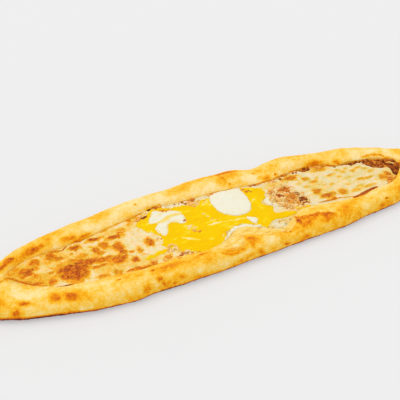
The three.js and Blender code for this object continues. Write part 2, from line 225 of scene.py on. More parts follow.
def addNode(tree, kind, values=None, **settings):
    node = tree.nodes.new("ShaderNode" + kind)
    for key, value in settings.items():
        setattr(node, key, value)
    for key, value in (values or {}).items():
        if isinstance(value, bpy.types.NodeSocket):
            tree.links.new(value, node.inputs[key])
        else:
            node.inputs[key].default_value = value
    return node


def addMath(tree, operation, a, b):
    return addNode(tree, "Math", {0: a, 1: b}, operation=operation).outputs[0]


def addNoise(tree, place, size):
    # size is in millimetres
    values = {"Vector": place, "Scale": 1 / (size * mm), "Detail": 4, "Roughness": 0.5}
    return addNode(tree, "TexNoise", values).outputs[0]


def addRamp(tree, factor, stops):
    node = addNode(tree, "ValToRGB", {"Fac": factor})
    while len(node.color_ramp.elements) < len(stops):
        node.color_ramp.elements.new(1)
    for element, (place, colour) in zip(node.color_ramp.elements, stops):
        element.position = place
        element.color = (*linear(colour), 1)
    return node.outputs["Color"]


def addMix(tree, factor, a, b, way="MIX"):
    values = {"Factor": factor, 6: a, 7: b}
    return addNode(tree, "Mix", values, data_type="RGBA", blend_type=way).outputs[2]


def addValue(tree, name):
    return addNode(tree, "Attribute", attribute_name=name).outputs["Fac"]


def addStretch(tree, place, share):
    # draws a pattern out along X
    return addNode(tree, "Mapping", {"Vector": place, "Scale": (share, 1, 1)}).outputs[0]


def startMaterial(name, finish):
    material = bpy.data.materials.new(name)
    material.use_nodes = True
    tree = material.node_tree
    shader = tree.nodes["Principled BSDF"]
    for key, value in finish.items():
        shader.inputs[key].default_value = value
    place = addNode(tree, "TexCoord").outputs["Object"]
    return material, tree, shader, place


def wobble(tree, value, place, sizes):
    # adds noise to a value: each size is (millimetres, how much)
    for size, amount in sizes:
        noise = addMath(tree, "SUBTRACT", addNoise(tree, place, size), 0.5)
        value = addMath(tree, "ADD", value, addMath(tree, "MULTIPLY", noise, amount))
    return value


def addBump(tree, shader, height, depth):
    # depth is in millimetres
    bump = addNode(tree, "Bump", {"Strength": 1.0, "Distance": depth * mm, "Height": height})
    tree.links.new(bump.outputs["Normal"], shader.inputs["Normal"])


def addGrain(tree, shader, place, grain):
    height = wobble(tree, addNoise(tree, place, grain["size"]), place, grain["finer"])
    addBump(tree, shader, height, grain["depth"])


def addGloss(tree, shader, place, gloss):
    # uneven roughness: (size of its patches, how much they differ, the least)
    size, amount, least = gloss
    patches = addMath(tree, "MULTIPLY", addNoise(tree, place, size), amount)
    tree.links.new(addMath(tree, "ADD", patches, least), shader.inputs["Roughness"])


# The camera looks down along the dough from its near left side
camera = {
    "place": (-298.94, -529.78, 472.63),
    "aim": (4.347, 45.709, 0),
    "lens": 72,
    "sensor": 36,
    "clip": (0.01, 20),  # metres
}


def addCamera():
    data = bpy.data.cameras.new("camera")
    data.lens = camera["lens"]
    data.sensor_width = data.sensor_height = camera["sensor"]
    data.sensor_fit = "HORIZONTAL"
    data.dof.use_dof = False
    data.clip_start, data.clip_end = camera["clip"]
    eye = bpy.data.objects.new("camera", data)
    eye.location = (Vector(camera["place"]) + middleShift) * mm
    aim = (Vector(camera["aim"]) + middleShift) * mm
    eye.rotation_euler = (aim - eye.location).to_track_quat("-Z", "Y").to_euler()
    bpy.context.scene.collection.objects.link(eye)
    bpy.context.scene.camera = eye


addCamera()


# Light and floor
studio = {
    "sky": 0.95,
    # each lamp is far away: where it shines from, how wide it looks in degrees, how strong it is
    "key": {"place": (-0.5, 0.55, 1.6), "width": 40, "strength": 0.5},
    "glint": {"place": (-0.2, 0.9, 1.1), "width": 8, "strength": 0.15},
    "floorColour": (174, 174, 174),
    "floorGlow": 0.38,
    "floorHalf": 6,  # metres
}


def addLight(name, place, width, strength):
    data = bpy.data.lights.new(name, "SUN")
    data.angle, data.energy = np.radians(width), strength
    lamp = bpy.data.objects.new(name, data)
    lamp.location = place
    lamp.rotation_euler = (-Vector(place)).to_track_quat("-Z", "Y").to_euler()
    bpy.context.scene.collection.objects.link(lamp)


def addFloor():
    half = studio["floorHalf"]
    corners = [(-half, -half, 0), (half, -half, 0), (half, half, 0), (-half, half, 0)]
    mesh = bpy.data.meshes.new("floor")
    mesh.from_pydata(corners, [], [(0, 1, 2, 3)])
    floor = bpy.data.objects.new("floor", mesh)
    bpy.context.scene.collection.objects.link(floor)
    finish = {"Base Color": (*linear(studio["floorColour"]), 1), "Roughness": 0.9, "Specular IOR Level": 0.1,
              "Emission Color": (1, 1, 1, 1), "Emission Strength": studio["floorGlow"]}
    mesh.materials.append(startMaterial("paleFloor", finish)[0])
    floor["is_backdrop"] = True


def addStudio():
    scene = bpy.context.scene
    scene.view_settings.view_transform = "Standard"
    scene.world = bpy.data.worlds.new("studio")
    scene.world.use_nodes = True
    sky = scene.world.node_tree.nodes["Background"]
    sky.inputs["Color"].default_value = (1, 1, 1, 1)
    sky.inputs["Strength"].default_value = studio["sky"]
    for name in ("key", "glint"):
        addLight(name, **studio[name])
    addFloor()
    print("camera, light and floor set")


addStudio()


# The dough: a long ring of sections, each running from the base over the rolled rim down into the hollow
dough = {
    "halfLength": 250, "halfWidth": 64, "endPower": 3, "endRoundness": 0.7,
    "bulgeHeight": 5.5, "crestHeight": 16, "crestPlace": 0.44, "insideFullness": 1.3,
    "lipHeight": 10.6, "floorHeight": 5, "wallRun": 2,
    "noseLength": 12, "noseLift": 0.8, "baseInset": 8, "baseShare": 0.6,
    # how far the middle line lies to the far side, and how far it drifts to the near side at the tips
    "middle": 1, "tipDrift": {"left": 7, "right": 10}, "driftPower": 3,
    # each line along the dough wanders: (how far, where its waves start)
    "wander": {"edge": (0.7, 0), "lip": (0.8, 2), "crest": (0.6, 5)},
    "sections": 640, "crowding": 1.25,
    "steps": {"tuck": 7, "outside": 30, "inside": 28, "wall": 3, "floor": 3, "under": 5},
    # lumps, wrinkles and grain of the skin: (size, height)
    "skin": [(24, 0.55), (8, 0.3), (3, 0.14)],
    # where the skin starts to be uneven past the edge of the base, and where it stops by the lip: (from, to)
    "skinStart": (0.5, 4), "skinStop": (-3, 0.5),
    # browned skin is more uneven, and the brownest stands proud
    "brownSkin": {"from": 0.5, "to": 0.8, "more": 0.4},
    "brownRise": {"from": 0.55, "to": 0.9, "height": 0.5, "even": 0.6, "uneven": 0.4, "size": 3},
    # fine folds along the rims: (size, height, how many times longer than wide)
    "folds": (4.5, 0.34, 4),
    "edgeHills": {
        far: [(-135, 38, -2), (12, 40, 1.6), (43, 9, 1.0), (70, 18, -5), (132, 20, -4), (194, 12, -4.5),
              (228, 12, -4)],
        near: [(-142, 32, 3.2), (-110, 10, 2), (45, 40, -2), (182, 28, 5)],
    },
    "crestHills": {
        far: [(-170, 24, 0.8), (-50, 16, -0.8), (41, 10, 0.9), (70, 14, -1.2), (110, 18, 0.8)],
        near: [(-190, 20, -0.8), (-110, 16, 0.8), (10, 16, 0.8), (47, 13, -3.6), (66, 4, -1.4),
               (86, 17, 1.2), (146, 14, -0.8)],
    },
}
hollow = {
    "halfLength": 210.3, "middle": 3.3, "halfWidth": 37, "roundness": 0.6,
    "seamHalfWidth": 0.8, "seamDepth": 3, "seamFloorDrop": 0.8, "seamRunUp": 16,
    "fillingEnds": (-209, 213),
    "lipHills": {
        far: [(-126, 24, -3.5), (-50, 20, 6), (66, 30, -7), (130, 12, 4), (152, 9, -4)],
        near: [(-182, 22, 4.6), (-172, 9, 1.6), (-100, 20, 2), (-32, 14, 4), (9, 15, -12), (45, 13, 7),
               (75, 9, -3), (87, 20, -8), (141, 12, 4), (188, 18, 11)],
    },
    "shift": [(-195, 30, 9), (155, 25, -3)],
}
crestColumn = dough["steps"]["tuck"] + dough["steps"]["outside"]
lipColumn = crestColumn + dough["steps"]["inside"] - 1


def endTaper(x):
    return (1 - np.minimum(np.abs(x) / dough["halfLength"], 1) ** dough["endPower"]) ** dough["endRoundness"]


def middleLine(x):
    drift = np.where(x < 0, dough["tipDrift"]["left"], dough["tipDrift"]["right"])
    return dough["middle"] - drift * np.abs(x / dough["halfLength"]) ** dough["driftPower"]


def wander(line, x, side):
    amount, start = dough["wander"][line]
    return amount * waver(x, start + side)


def outerEdge(x, side):
    push = hills(dough["edgeHills"][side], x) + wander("edge", x, side)
    return middleLine(x) + side * (dough["halfWidth"] + push) * endTaper(x)


def lipEdge(x, side):
    u = np.minimum(np.abs(x - hollow["middle"]) / hollow["halfLength"], 1)
    taper = (1 - u ** dough["endPower"]) ** hollow["roundness"]
    push = hills(hollow["lipHills"][side], x) + wander("lip", x, side)
    half = hollow["seamHalfWidth"] + (hollow["halfWidth"] - hollow["seamHalfWidth"] + push) * taper
    return middleLine(x) + hills(hollow["shift"], x) + side * half


def hollowMiddle(x):
    return (lipEdge(x, far) + lipEdge(x, near)) / 2


def noseRise(x):
    half = dough["halfWidth"] * endTaper(x)
    return np.sqrt(1 - (1 - np.minimum(half / dough["noseLength"], 1)) ** 2)


def crestLevel(x, side):
    push = hills(dough["crestHills"][side], x) + wander("crest", x, side)
    return blend(dough["bulgeHeight"], dough["crestHeight"] + push, noseRise(x))


def closing(x):
    # 0 along the hollow, 1 past its ends, where the rims meet in a seam
    left = hollow["middle"] - hollow["halfLength"]
    right = hollow["middle"] + hollow["halfLength"]
    run = hollow["seamRunUp"]
    return 1 - smoothStep(left, left + run, x) + smoothStep(right - run, right, x)


def lipLevel(x):
    level = blend(dough["lipHeight"], dough["crestHeight"] - hollow["seamDepth"], closing(x))
    return blend(dough["bulgeHeight"], level, noseRise(x))


def floorLevel(x):
    return blend(dough["floorHeight"], lipLevel(x) - hollow["seamFloorDrop"], closing(x) ** 2)


def halfSection(x, side):
    # from the edge of the base to the middle of the hollow's floor
    steps = dough["steps"]
    edge, inner, middle = outerEdge(x, side), lipEdge(x, side), hollowMiddle(x)
    top, lipTop, floorTop = crestLevel(x, side), lipLevel(x), floorLevel(x)
    bulge = dough["bulgeHeight"]
    inset = np.minimum(dough["baseInset"], np.abs(edge - middleLine(x)) * dough["baseShare"])
    low = bulge * (1 - noseRise(x)) * dough["noseLift"]
    points = []
    for t in np.linspace(0, np.pi / 2, steps["tuck"], endpoint=False):
        points.append((edge - side * inset * (1 - np.sin(t)), blend(low, bulge, 1 - np.cos(t))))
    for t in np.linspace(0, np.pi / 2, steps["outside"], endpoint=False):
        across = dough["crestPlace"] * (1 - np.cos(t))
        points.append((blend(edge, inner, across), blend(bulge, top, np.sin(t))))
    for t in np.linspace(0, np.pi / 2, steps["inside"]):
        across = blend(dough["crestPlace"], 1, np.sin(t))
        height = np.maximum(np.cos(t), 0) ** dough["insideFullness"]
        points.append((blend(edge, inner, across), blend(lipTop, top, height)))
    # at the narrow ends each wall takes up no more than a quarter of the hollow
    foot = inner - side * np.minimum(dough["wallRun"], (lipEdge(x, far) - lipEdge(x, near)) / 4)
    for t in np.linspace(0, 1, steps["wall"] + 1)[1:]:
        points.append((blend(inner, foot, t), blend(lipTop, floorTop, t)))
    for t in np.linspace(0, 1, steps["floor"], endpoint=False)[1:]:
        points.append((blend(foot, middle, t), floorTop))
    return np.stack([np.stack(np.broadcast_arrays(x, y, z), -1) for y, z in points], 1)


# How brown the dough is, with painted shade along its lips and in its creases and painted highlight in some
# pale patches. A place on a rim is x and the distance from its crest, + towards the filling
toast = {
    "baseLevel": {far: 0.25, near: 0.3},
    # stretches that are baked more or less all over: (x, how far it fades, how much)
    "trend": {
        far: [(-190, 40, 0.1), (-70, 40, -0.04), (60, 20, -0.05), (150, 50, 0.04)],
        near: [(-195, 30, -0.04), (-60, 40, 0.09), (10, 30, 0.09), (100, 50, 0.07), (180, 40, 0.08)],
    },
    "patchiness": [(30, 0.14), (11, 0.2), (4, 0.14), (1.8, 0.08)],
    "patchShare": {far: 0.78, near: 1},
    "lowerFlank": {"from": -5, "to": -18, "browner": 0.06},
    "darkest": {far: 0.88, near: 0.94},
    "softness": 0.7, "paleSoftness": 0.8, "palest": 0.24,
    # a wider and weaker halo round each dark mark
    "halo": {"longer": 1.5, "wider": 1.7, "darkest": 0.66, "share": 0.92, "softness": 0.8},
    "ragged": (6, 2.6, 0.6),  # size, how far along the rim, the share of that over the rim
    "uneven": (5.5, 0.34),
    "speckle": (2.4, 0.08),
    # the dark line where the near edge meets the table: (from the base edge, to), more of it on the left
    "underside": {"left": (9.6, 12.2), "right": (8.3, 9.8)},
    "undersideTurn": (-120, -170), "undersideFade": 0.1,
    # toast marks, and pale patches, floury in places and painted highlight in others: (x, distance from the
    # crest, half length, half width, how much)
    "dark": {
        far: [(-172, 8, 11, 4, 0.86), (-177, 7, 9, 4.6, 0.78), (-200, 4.6, 10, 4, 0.98),
              (-210, 2, 7, 5, 0.8), (-141, 10.8, 7, 3.2, 0.74), (-135.5, 12, 3.4, 2.4, 0.86),
              (-133, 16, 5, 1.8, 0.75), (-123, 15, 7, 2.2, 0.8), (-158, 4, 4, 6, 0.66),
              (-187, 8, 9, 4, 0.68), (-150, -2, 12, 5, 0.5), (-102, -1, 9, 5, 0.58), (-11, 1, 7, 4, 0.58),
              (-4, -3, 9, 3, 0.6), (10, -4, 10, 4, 0.54), (-20, 3, 7, 3, 0.5), (38, -3.5, 13, 3.4, 0.88),
              (31, 4, 6, 6, 0.68), (40, 2, 9, 4, 0.6), (34, 13.8, 1.8, 1.4, 0.6),
              (63.5, 2.8, 1.6, 1.2, 0.8), (71.5, 1, 5, 2, 0.55), (85.5, 4, 8, 4, 0.52),
              (73, 13.5, 5, 3, 0.78), (85, 15, 2, 1.6, 0.9), (132.5, 11.5, 9, 3.2, 0.8),
              (154.5, 14.5, 5, 3.4, 0.8), (196, 9.4, 3, 1.2, 0.84), (201, 9.6, 1.6, 1.0, 0.92),
              (-64, 4, 1.2, 1.2, 0.9), (111, 0, 1.8, 1.4, 0.65), (120, -4, 14, 3, 0.5),
              (225, 2, 8, 6, 0.55), (-228, 4, 9, 6, 0.6)],
        near: [(-175, -3, 5, 5, 0.74), (-169, -3, 4, 3.4, 0.62), (-163.5, -2.6, 8, 5.2, 0.8),
               (-152, -6, 6, 3, 0.5), (-201, -9, 6, 2.2, 0.8), (-209.5, -18, 4.5, 4, 0.8),
               (-121, 4.2, 2.8, 1.2, 0.9), (-92, 3, 2.8, 1.4, 0.9), (-60, 9.9, 2.4, 1.4, 0.95),
               (-73, 3, 17, 4, 0.72), (-50, 2, 10, 3, 0.58), (-80, 0, 12, 4, 0.56), (-42, 5, 6, 1.6, 0.72),
               (-10, -2.5, 15, 4.5, 0.64), (8, -3.5, 7, 5.5, 0.76), (6, -8.5, 4, 3, 0.66),
               (-5, -8, 6, 2, 0.68), (3, 4.5, 5, 1.6, 0.64), (-8, -17, 9, 2.4, 0.6), (42, 0, 6, 2, 0.62),
               (-88.5, -7.5, 3, 2.4, 0.82), (-86.5, -12, 1.8, 2.6, 0.78), (-77, -14.5, 3.4, 2.4, 0.72),
               (-69, -11, 5, 2.6, 0.66), (-101.5, -14, 5, 4.5, 0.74), (-54, -17, 6, 2.4, 0.68),
               (54, -1, 6, 3, 0.62), (43, 1, 6, 2, 0.56), (66, -4, 9, 5, 0.68), (88, -8, 10, 4, 0.68),
               (112, -3, 7, 6, 0.64), (122, 2, 10, 4, 0.54), (133, 7, 7, 4, 0.54), (160, -7.6, 2, 1, 1.0),
               (40, -11.4, 6, 1.6, 0.7), (63, 4.4, 3, 4.4, 0.94), (62.5, 0, 2.4, 3, 0.84),
               (76, -3.5, 10, 2.4, 0.72), (89, -9, 6, 2.2, 0.76), (10.5, -19, 4, 3, 0.74),
               (59.5, -15, 6, 3, 0.74), (153.5, -13, 8, 3, 0.7), (40.5, 2.5, 4, 2.4, 0.66),
               (47, -1, 2, 1.2, 0.9), (-220, -6, 7, 7, 0.6), (205, -4, 8, 6, 0.62), (232, 0, 7, 6, 0.58),
               (178, -3, 9, 5, 0.5)],
    },
    "pale": {
        far: [(-112, 9, 16, 6, 0.9), (-80, 5, 20, 7, 0.8), (-40, 8, 22, 6, 0.8), (12, 12, 18, 5, 0.8),
              (57, 10, 8, 6, 1.0), (100, 8, 9, 4, 1.0), (122, 9, 8, 3, 0.6), (150, 8, 8, 4, 0.6),
              (180, 8, 6, 9, 1.3), (196, 3, 12, 4, 0.9), (213, 6, 5, 7, 1.0), (-190, 11, 8, 4, 0.6),
              (-155, 13, 8, 3, 0.6)],
        near: [(-197, 0, 13, 8, 1.0), (-184, -9, 9, 5, 0.5), (-140, 5, 12, 5, 0.6), (-128, -9, 14, 6, 0.5),
               (-104, -6, 7, 5, 0.8), (-95, -12, 4.4, 4, 0.9), (-79, -6.4, 4, 3, 0.9),
               (-109, -12, 4, 4, 0.8), (-56, -9, 13, 5, 1.0), (-25, -11, 16, 4, 0.8),
               (-8, -12.6, 12, 2.4, 0.8), (8, -14, 8, 2.6, 0.8), (22, -9, 11, 6, 0.9), (97, 11, 8, 4, 0.8),
               (78, 15, 9, 3, 0.8), (150, 5, 9, 3, 0.5), (135, -8, 10, 4, 0.4), (170, 9, 9, 4, 0.7),
               (115, 5, 9, 3, 0.8), (-200, -16, 20, 4, 0.5), (-150, -14, 18, 5, 0.5)],
    },
    # creases over the rim, pressed in and darkened, partly browned and partly painted shade in the crease:
    # (path of x and distance from the crest, width, how dark)
    "creases": {
        far: [([(183, 13), (189, 10.5), (196, 9), (202, 10), (206, 13.5), (208.5, 16)], 4, 0.62),
              ([(-64, 12), (-50, 13), (-40, 13)], 2, 0.5)],
        near: [([(62, 17), (65, 13), (66, 8.5), (72, 4), (83, 1), (94, -2)], 1.6, 0.86),
               ([(104, 10), (118, 6), (132, 5)], 1.6, 0.5)],
    },
    # toast with a crisp edge towards the filling: (path of that edge, how far it fades outwards, how dark)
    "ledges": {
        far: [([(-184, 12), (-176, 12), (-168, 11), (-160, 9)], 9, 0.7),
              ([(126, 16), (132, 17), (140, 17), (146, 15)], 7, 0.74)],
        near: [([(-32, 2), (-28, 0), (-22, -3), (-16, -5.2), (-10, -6.2), (-3, -7.2), (4, -7)], 7, 0.7),
               ([(56, 1), (61, 7), (65, 13), (66, 8.5), (72, 4), (83, 1), (94, -2), (106, -6)], 15, 0.84)],
    },
    # how far outside its width a crease starts to show, and the share of the width at which it is full
    "creaseEdge": (0.8, 0.4),
    "creaseDepth": 0.6, "creaseWidth": 2.4,
    "ledgeShape": {"startRun": 6, "stopRun": 10, "edge": 1.2, "fadeFrom": 1.5},
    # stretches where the edge next to the filling is dark, partly browned and partly painted shadow of the
    # crack where the rim folds over the filling: (x, half length, how dark)
    "lipDark": {
        far: [(-122, 9, 0.6), (-95, 12, 0.5), (-70, 10, 0.6), (-48, 9, 0.85), (-15, 9, 0.75), (22, 13, 0.7),
              (70, 10, 0.9), (88, 8, 0.9), (113, 12, 0.95), (134, 9, 0.8), (146, 6, 0.9), (172, 9, 0.8),
              (196, 12, 0.9), (-160, 14, 0.5), (-190, 12, 0.4)],
        near: [(-188, 18, 0.7), (-163, 6, 0.9), (-100, 10, 0.5), (-66, 12, 0.75), (70, 7, 0.5),
               (110, 8, 0.75), (133, 9, 0.7), (150, 12, 1.0), (193, 10, 0.95)],
    },
    "lipDarkEnds": (0.7, 1.3),  # shares of the half length between which it fades
    "lipDarkShape": {"pastLip": 0.6, "full": 0.3, "width": 1.6, "even": 0.8, "uneven": 0.5, "size": 5},
    # the seams past the hollow's ends: how dark, how far the rims have closed there, how far from the lip
    "seam": {far: 0.4, near: 0.7}, "seamFrom": 0.6, "seamEdge": (-0.9, 0.2),
    # the upper limit of the egg white that has dried inside the near rim: (x, distance from the crest)
    "driedWhite": [(-34, 40), (-28, 6.8), (-22, 1.6), (-15, -3), (-10, -5), (-4, -6), (-0.5, -6), (1.5, 0),
                   (3, 3), (9, 1.6), (18, -1.6), (28, -1.9), (37, 0.7), (46, 0.5), (56, 2), (61, 8),
                   (66, 40)],
    "driedRagged": {"along": (5, 2), "over": (3, 1.4)},
    "driedFilm": (-0.6, 3.6),
    "driedEdge": {"brown": 0.52, "at": -0.2, "from": 0.4, "to": 1.6},
    "hollowFloor": 0.3, "base": 0.9, "tips": 0.5,  # how brown
}


def stretchDark(x, side):
    low, high = toast["lipDarkEnds"]
    dark = np.zeros(np.shape(x))
    for at, half, strength in toast["lipDark"][side]:
        dark = np.maximum(dark, strength * (1 - smoothStep(low, high, np.abs(x - at) / half)))
    return dark


def pastLip(over):
    return over - over[:, lipColumn:lipColumn + 1]


def ledgeDark(x, over, side):
    shape = toast["ledgeShape"]
    dark = np.zeros(x.shape)
    for path, fade, strength in toast["ledges"][side]:
        start, stop = path[0][0], path[-1][0]
        outward = np.interp(x, *zip(*path)) - over
        ends = smoothStep(start, start + shape["startRun"], x) * smoothStep(stop, stop - shape["stopRun"], x)
        crisp = smoothStep(-shape["edge"], shape["edge"], outward)
        dark = np.maximum(dark, strength * ends * crisp * smoothStep(fade, shape["fadeFrom"], outward))
    return dark


def lipShadeAndBrowning(points, over, side):
    # the dark edge next to the filling, partly browned and partly painted shadow of the crack under the
    # rim's fold, and the dark seams past the hollow's ends
    x = points[..., 0]
    shape = toast["lipDarkShape"]
    broken = shape["even"] + shape["uneven"] * layeredNoise(points, shape["size"], seed=15)
    close = 1 - smoothStep(shape["full"], shape["width"], np.abs(pastLip(over) - shape["pastLip"]))
    seam = smoothStep(toast["seamFrom"], 1, closing(x)) * smoothStep(*toast["seamEdge"], pastLip(over))
    return np.maximum(stretchDark(x, side) * close * broken, toast["seam"][side] * seam)


def doughBrownAndPaintedLight(points, over, fromBase, side):
    # how dark each point of one half of the dough is, from 0 for pale to 1 for nearly burnt: mostly
    # browning, with painted shade along the lips and in creases and painted highlight in some pale patches
    x = points[..., 0]
    size, along, share = toast["ragged"]
    atX = x + along * layeredNoise(points, size, seed=11)
    atOver = over + along * share * layeredNoise(points, size, seed=12)
    size, amount = toast["uneven"]
    uneven = amount * layeredNoise(points, size, seed=13)
    patches = addLayers(toast["patchiness"], points, seed=20)
    brownAndPaintedLight = toast["baseLevel"][side] + hills(toast["trend"][side], x) + toast["patchShare"][side] * patches
    flank = toast["lowerFlank"]
    brownAndPaintedLight += flank["browner"] * smoothStep(flank["from"], flank["to"], over)
    # pale patches: flour in places, painted highlight in others
    brownAndPaintedLight -= toast["palest"] * spots(toast["pale"][side], atX, atOver, toast["paleSoftness"], uneven)
    dark = spots(toast["dark"][side], atX, atOver, toast["softness"], uneven)
    halo = toast["halo"]
    halos = [(a, b, c * halo["longer"], d * halo["wider"], min(e, halo["darkest"]))
             for a, b, c, d, e in toast["dark"][side]]
    dark = np.maximum(dark, halo["share"] * spots(halos, atX, atOver, halo["softness"], uneven))
    # the creases are dark partly from browning and partly as painted shade in the fold
    dark = np.maximum(dark, strandCover(toast["creases"][side], toast["creaseEdge"], atX, atOver))
    dark = np.maximum(dark, ledgeDark(atX, atOver, side))
    size, amount = toast["speckle"]
    dark = toast["darkest"][side] * dark * (1 + amount * layeredNoise(points, size, seed=14))
    brownAndPaintedLight = np.maximum(brownAndPaintedLight, dark)
    brownAndPaintedLight = np.maximum(brownAndPaintedLight, lipShadeAndBrowning(points, over, side))
    leftward = smoothStep(*toast["undersideTurn"], x) * (side == near)
    ends = zip(toast["underside"]["right"], toast["underside"]["left"])
    low, high = (blend(right, left, leftward) * noseRise(x) for right, left in ends)
    tuck = 1 - np.clip((fromBase - low) / (high + toast["undersideFade"] - low), 0, 1)
    return np.clip(blend(brownAndPaintedLight, 1, tuck), 0, 1)


def driedWhiteDepth(points, over, side):
    # how far inside the egg white that has dried on the near rim
    x = points[..., 0]
    if side == far:
        return np.full(x.shape, -huge)
    size, push = toast["driedRagged"]["along"]
    atX = x + push * layeredNoise(points, size, seed=31)
    size, push = toast["driedRagged"]["over"]
    return over - np.interp(atX, *zip(*toast["driedWhite"])) + push * layeredNoise(points, size, seed=32)


def creaseGroove(points, over, side):
    # creases press into the skin, most along their middle
    groove = np.zeros(over.shape)
    width = toast["creaseWidth"]
    for path, *_ in toast["creases"][side] + toast["ledges"][side]:
        inside = strandDepth(path, 2 * width, points[..., 0], over)
        groove = np.maximum(groove, smoothStep(0, width, inside))
    return toast["creaseDepth"] * groove


def gridNormals(grid):
    # the grid wraps round its second side
    along = np.gradient(grid, axis=0)
    around = np.roll(grid, -1, 1) - np.roll(grid, 1, 1)
    normals = np.cross(along, around)
    return normals / np.maximum(np.linalg.norm(normals, axis=2, keepdims=True), tiny)


def doughHalf(x, side):
    # the points of one half, and for each: how brown, with painted light in places, how uneven, how much
    # dried white, how deep a crease
    half = halfSection(x, side)
    run = np.linalg.norm(np.diff(half[:, :, 1:], axis=1), axis=2)
    fromBase = np.concatenate([np.zeros((len(x), 1)), np.cumsum(run, 1)], 1)
    over = fromBase - fromBase[:, crestColumn:crestColumn + 1]
    brownAndPaintedLight = doughBrownAndPaintedLight(half, over, fromBase, side)
    brown = dough["brownSkin"]
    skin = smoothStep(*dough["skinStart"], fromBase) * (1 - smoothStep(*dough["skinStop"], pastLip(over)))
    skin = skin * (1 + brown["more"] * smoothStep(brown["from"], brown["to"], brownAndPaintedLight))
    dried = driedWhiteDepth(half, over, side)
    edge = toast["driedEdge"]
    outline = 1 - smoothStep(edge["from"], edge["to"], np.abs(dried - edge["at"]))
    brownAndPaintedLight = np.maximum(brownAndPaintedLight, edge["brown"] * outline)
    return half, brownAndPaintedLight, skin, smoothStep(*toast["driedFilm"], dried), creaseGroove(half, over, side)


def joinHalves(halves, middle, under):
    # round the whole section: the near half, the middle of the hollow's floor, the far half, the base
    rows = len(halves[0])
    if np.isscalar(middle):
        middle = np.full((rows, 1), middle)
    if np.isscalar(under):
        under = np.full((rows, dough["steps"]["under"]), under)
    return np.concatenate([halves[0], middle, halves[1][:, ::-1], under], 1)


def makeDough():
    share = np.linspace(-1, 1, dough["sections"] + 2)[1:-1]
    x = dough["halfLength"] * np.sign(share) * (1 - (1 - np.abs(share)) ** dough["crowding"])
    halves, halvesBrownAndPaintedLight, skins, films, grooves = zip(*[doughHalf(x, side) for side in (near, far)])
    middle = np.stack([x, hollowMiddle(x), floorLevel(x)], -1)[:, None]
    start, end = halves[1][:, 0], halves[0][:, 0]
    under = [blend(start, end, t) for t in np.linspace(0, 1, dough["steps"]["under"] + 2)[1:-1]]
    grid = joinHalves(halves, middle, np.stack(under, 1))
    brownAndPaintedLight = joinHalves(halvesBrownAndPaintedLight, toast["hollowFloor"], toast["base"])
    skin, film, groove = (joinHalves(parts, 0.0, 0.0) for parts in (skins, films, grooves))
    rise = dough["brownRise"]
    lift = addLayers(dough["skin"], grid, seed=40)
    lumps = rise["even"] + rise["uneven"] * layeredNoise(grid, rise["size"], seed=50)
    lift += rise["height"] * smoothStep(rise["from"], rise["to"], brownAndPaintedLight) * lumps
    size, height, stretch = dough["folds"]
    lift += height * (1 + film) * layeredNoise(grid / [stretch, 1, 1], size, seed=52) - groove
    grid = grid + gridNormals(grid) * (skin * lift)[..., None] * noseRise(x)[:, None, None]
    grid[..., 2] = np.maximum(grid[..., 2], 0)
    points = grid.reshape(-1, 3)
    index, beside, faces = tubeFaces(*grid.shape[:2])
    ends = dough["halfLength"] * np.array([-1.0, 1.0])
    tips = np.stack([ends, middleLine(ends), np.full(2, dough["bulgeHeight"])], -1)
    left, right = len(points), len(points) + 1
    caps = [(left, a, b) for a, b in zip(index[0], beside[0])]
    caps += [(right, b, a) for a, b in zip(index[-1], beside[-1])]
    values = {"brownAndPaintedLight": [*brownAndPaintedLight.ravel(), toast["tips"], toast["tips"]], "film": [*film.ravel(), 0, 0]}
    return addMesh("bakedDough", np.concatenate([points, tips]), [*faces, *caps], values)


crust = {
    "stops": [(0.0, (249, 223, 158)), (0.18, (248, 210, 115)), (0.34, (248, 196, 68)),
              (0.48, (245, 178, 24)), (0.6, (238, 154, 8)), (0.72, (226, 126, 4)), (0.84, (204, 98, 18)),
              (0.93, (158, 66, 28)), (1.0, (96, 40, 24))],
    "wobble": [(10, 0.38), (3.4, 0.54), (1.3, 0.5)],
    # dried egg white, drawn out along the rim
    "driedStops": [(0.3, (222, 158, 64)), (0.42, (242, 198, 92)), (0.56, (243, 209, 108)),
                   (0.7, (239, 222, 170))],
    "driedStretch": 0.35, "driedSize": 2.2, "driedWobble": [(5, 0.5)], "driedCover": 0.9,
    "gloss": (6, 0.5, 0.35),
    "grain": {"size": 5, "finer": [(2.4, 0.7), (0.8, 0.5)], "depth": 0.6},
    "finish": {"Specular IOR Level": 0.07, "Subsurface Weight": 0.05, "Subsurface Scale": 0.002,
               "Subsurface Radius": (1.0, 0.6, 0.3)},
}


def makeCrust():
    material, tree, shader, place = startMaterial("goldenCrust", crust["finish"])
    # the dough's brown value also holds painted shade along the lips and in creases, and painted highlight
    # in pale patches
    brownAndPaintedLight = wobble(tree, addValue(tree, "brownAndPaintedLight"), place, crust["wobble"])
    colour = addRamp(tree, brownAndPaintedLight, crust["stops"])
    streaks = addNoise(tree, addStretch(tree, place, crust["driedStretch"]), crust["driedSize"])
    dried = addRamp(tree, wobble(tree, streaks, place, crust["driedWobble"]), crust["driedStops"])
    covered = addMath(tree, "MULTIPLY", addValue(tree, "film"), crust["driedCover"])
    tree.links.new(addMix(tree, covered, colour, dried), shader.inputs["Base Color"])
    addGloss(tree, shader, place, crust["gloss"])
    addGrain(tree, shader, place, crust["grain"])
    return material


finishPiece(makeDough(), makeCrust(), "crust", "bread")


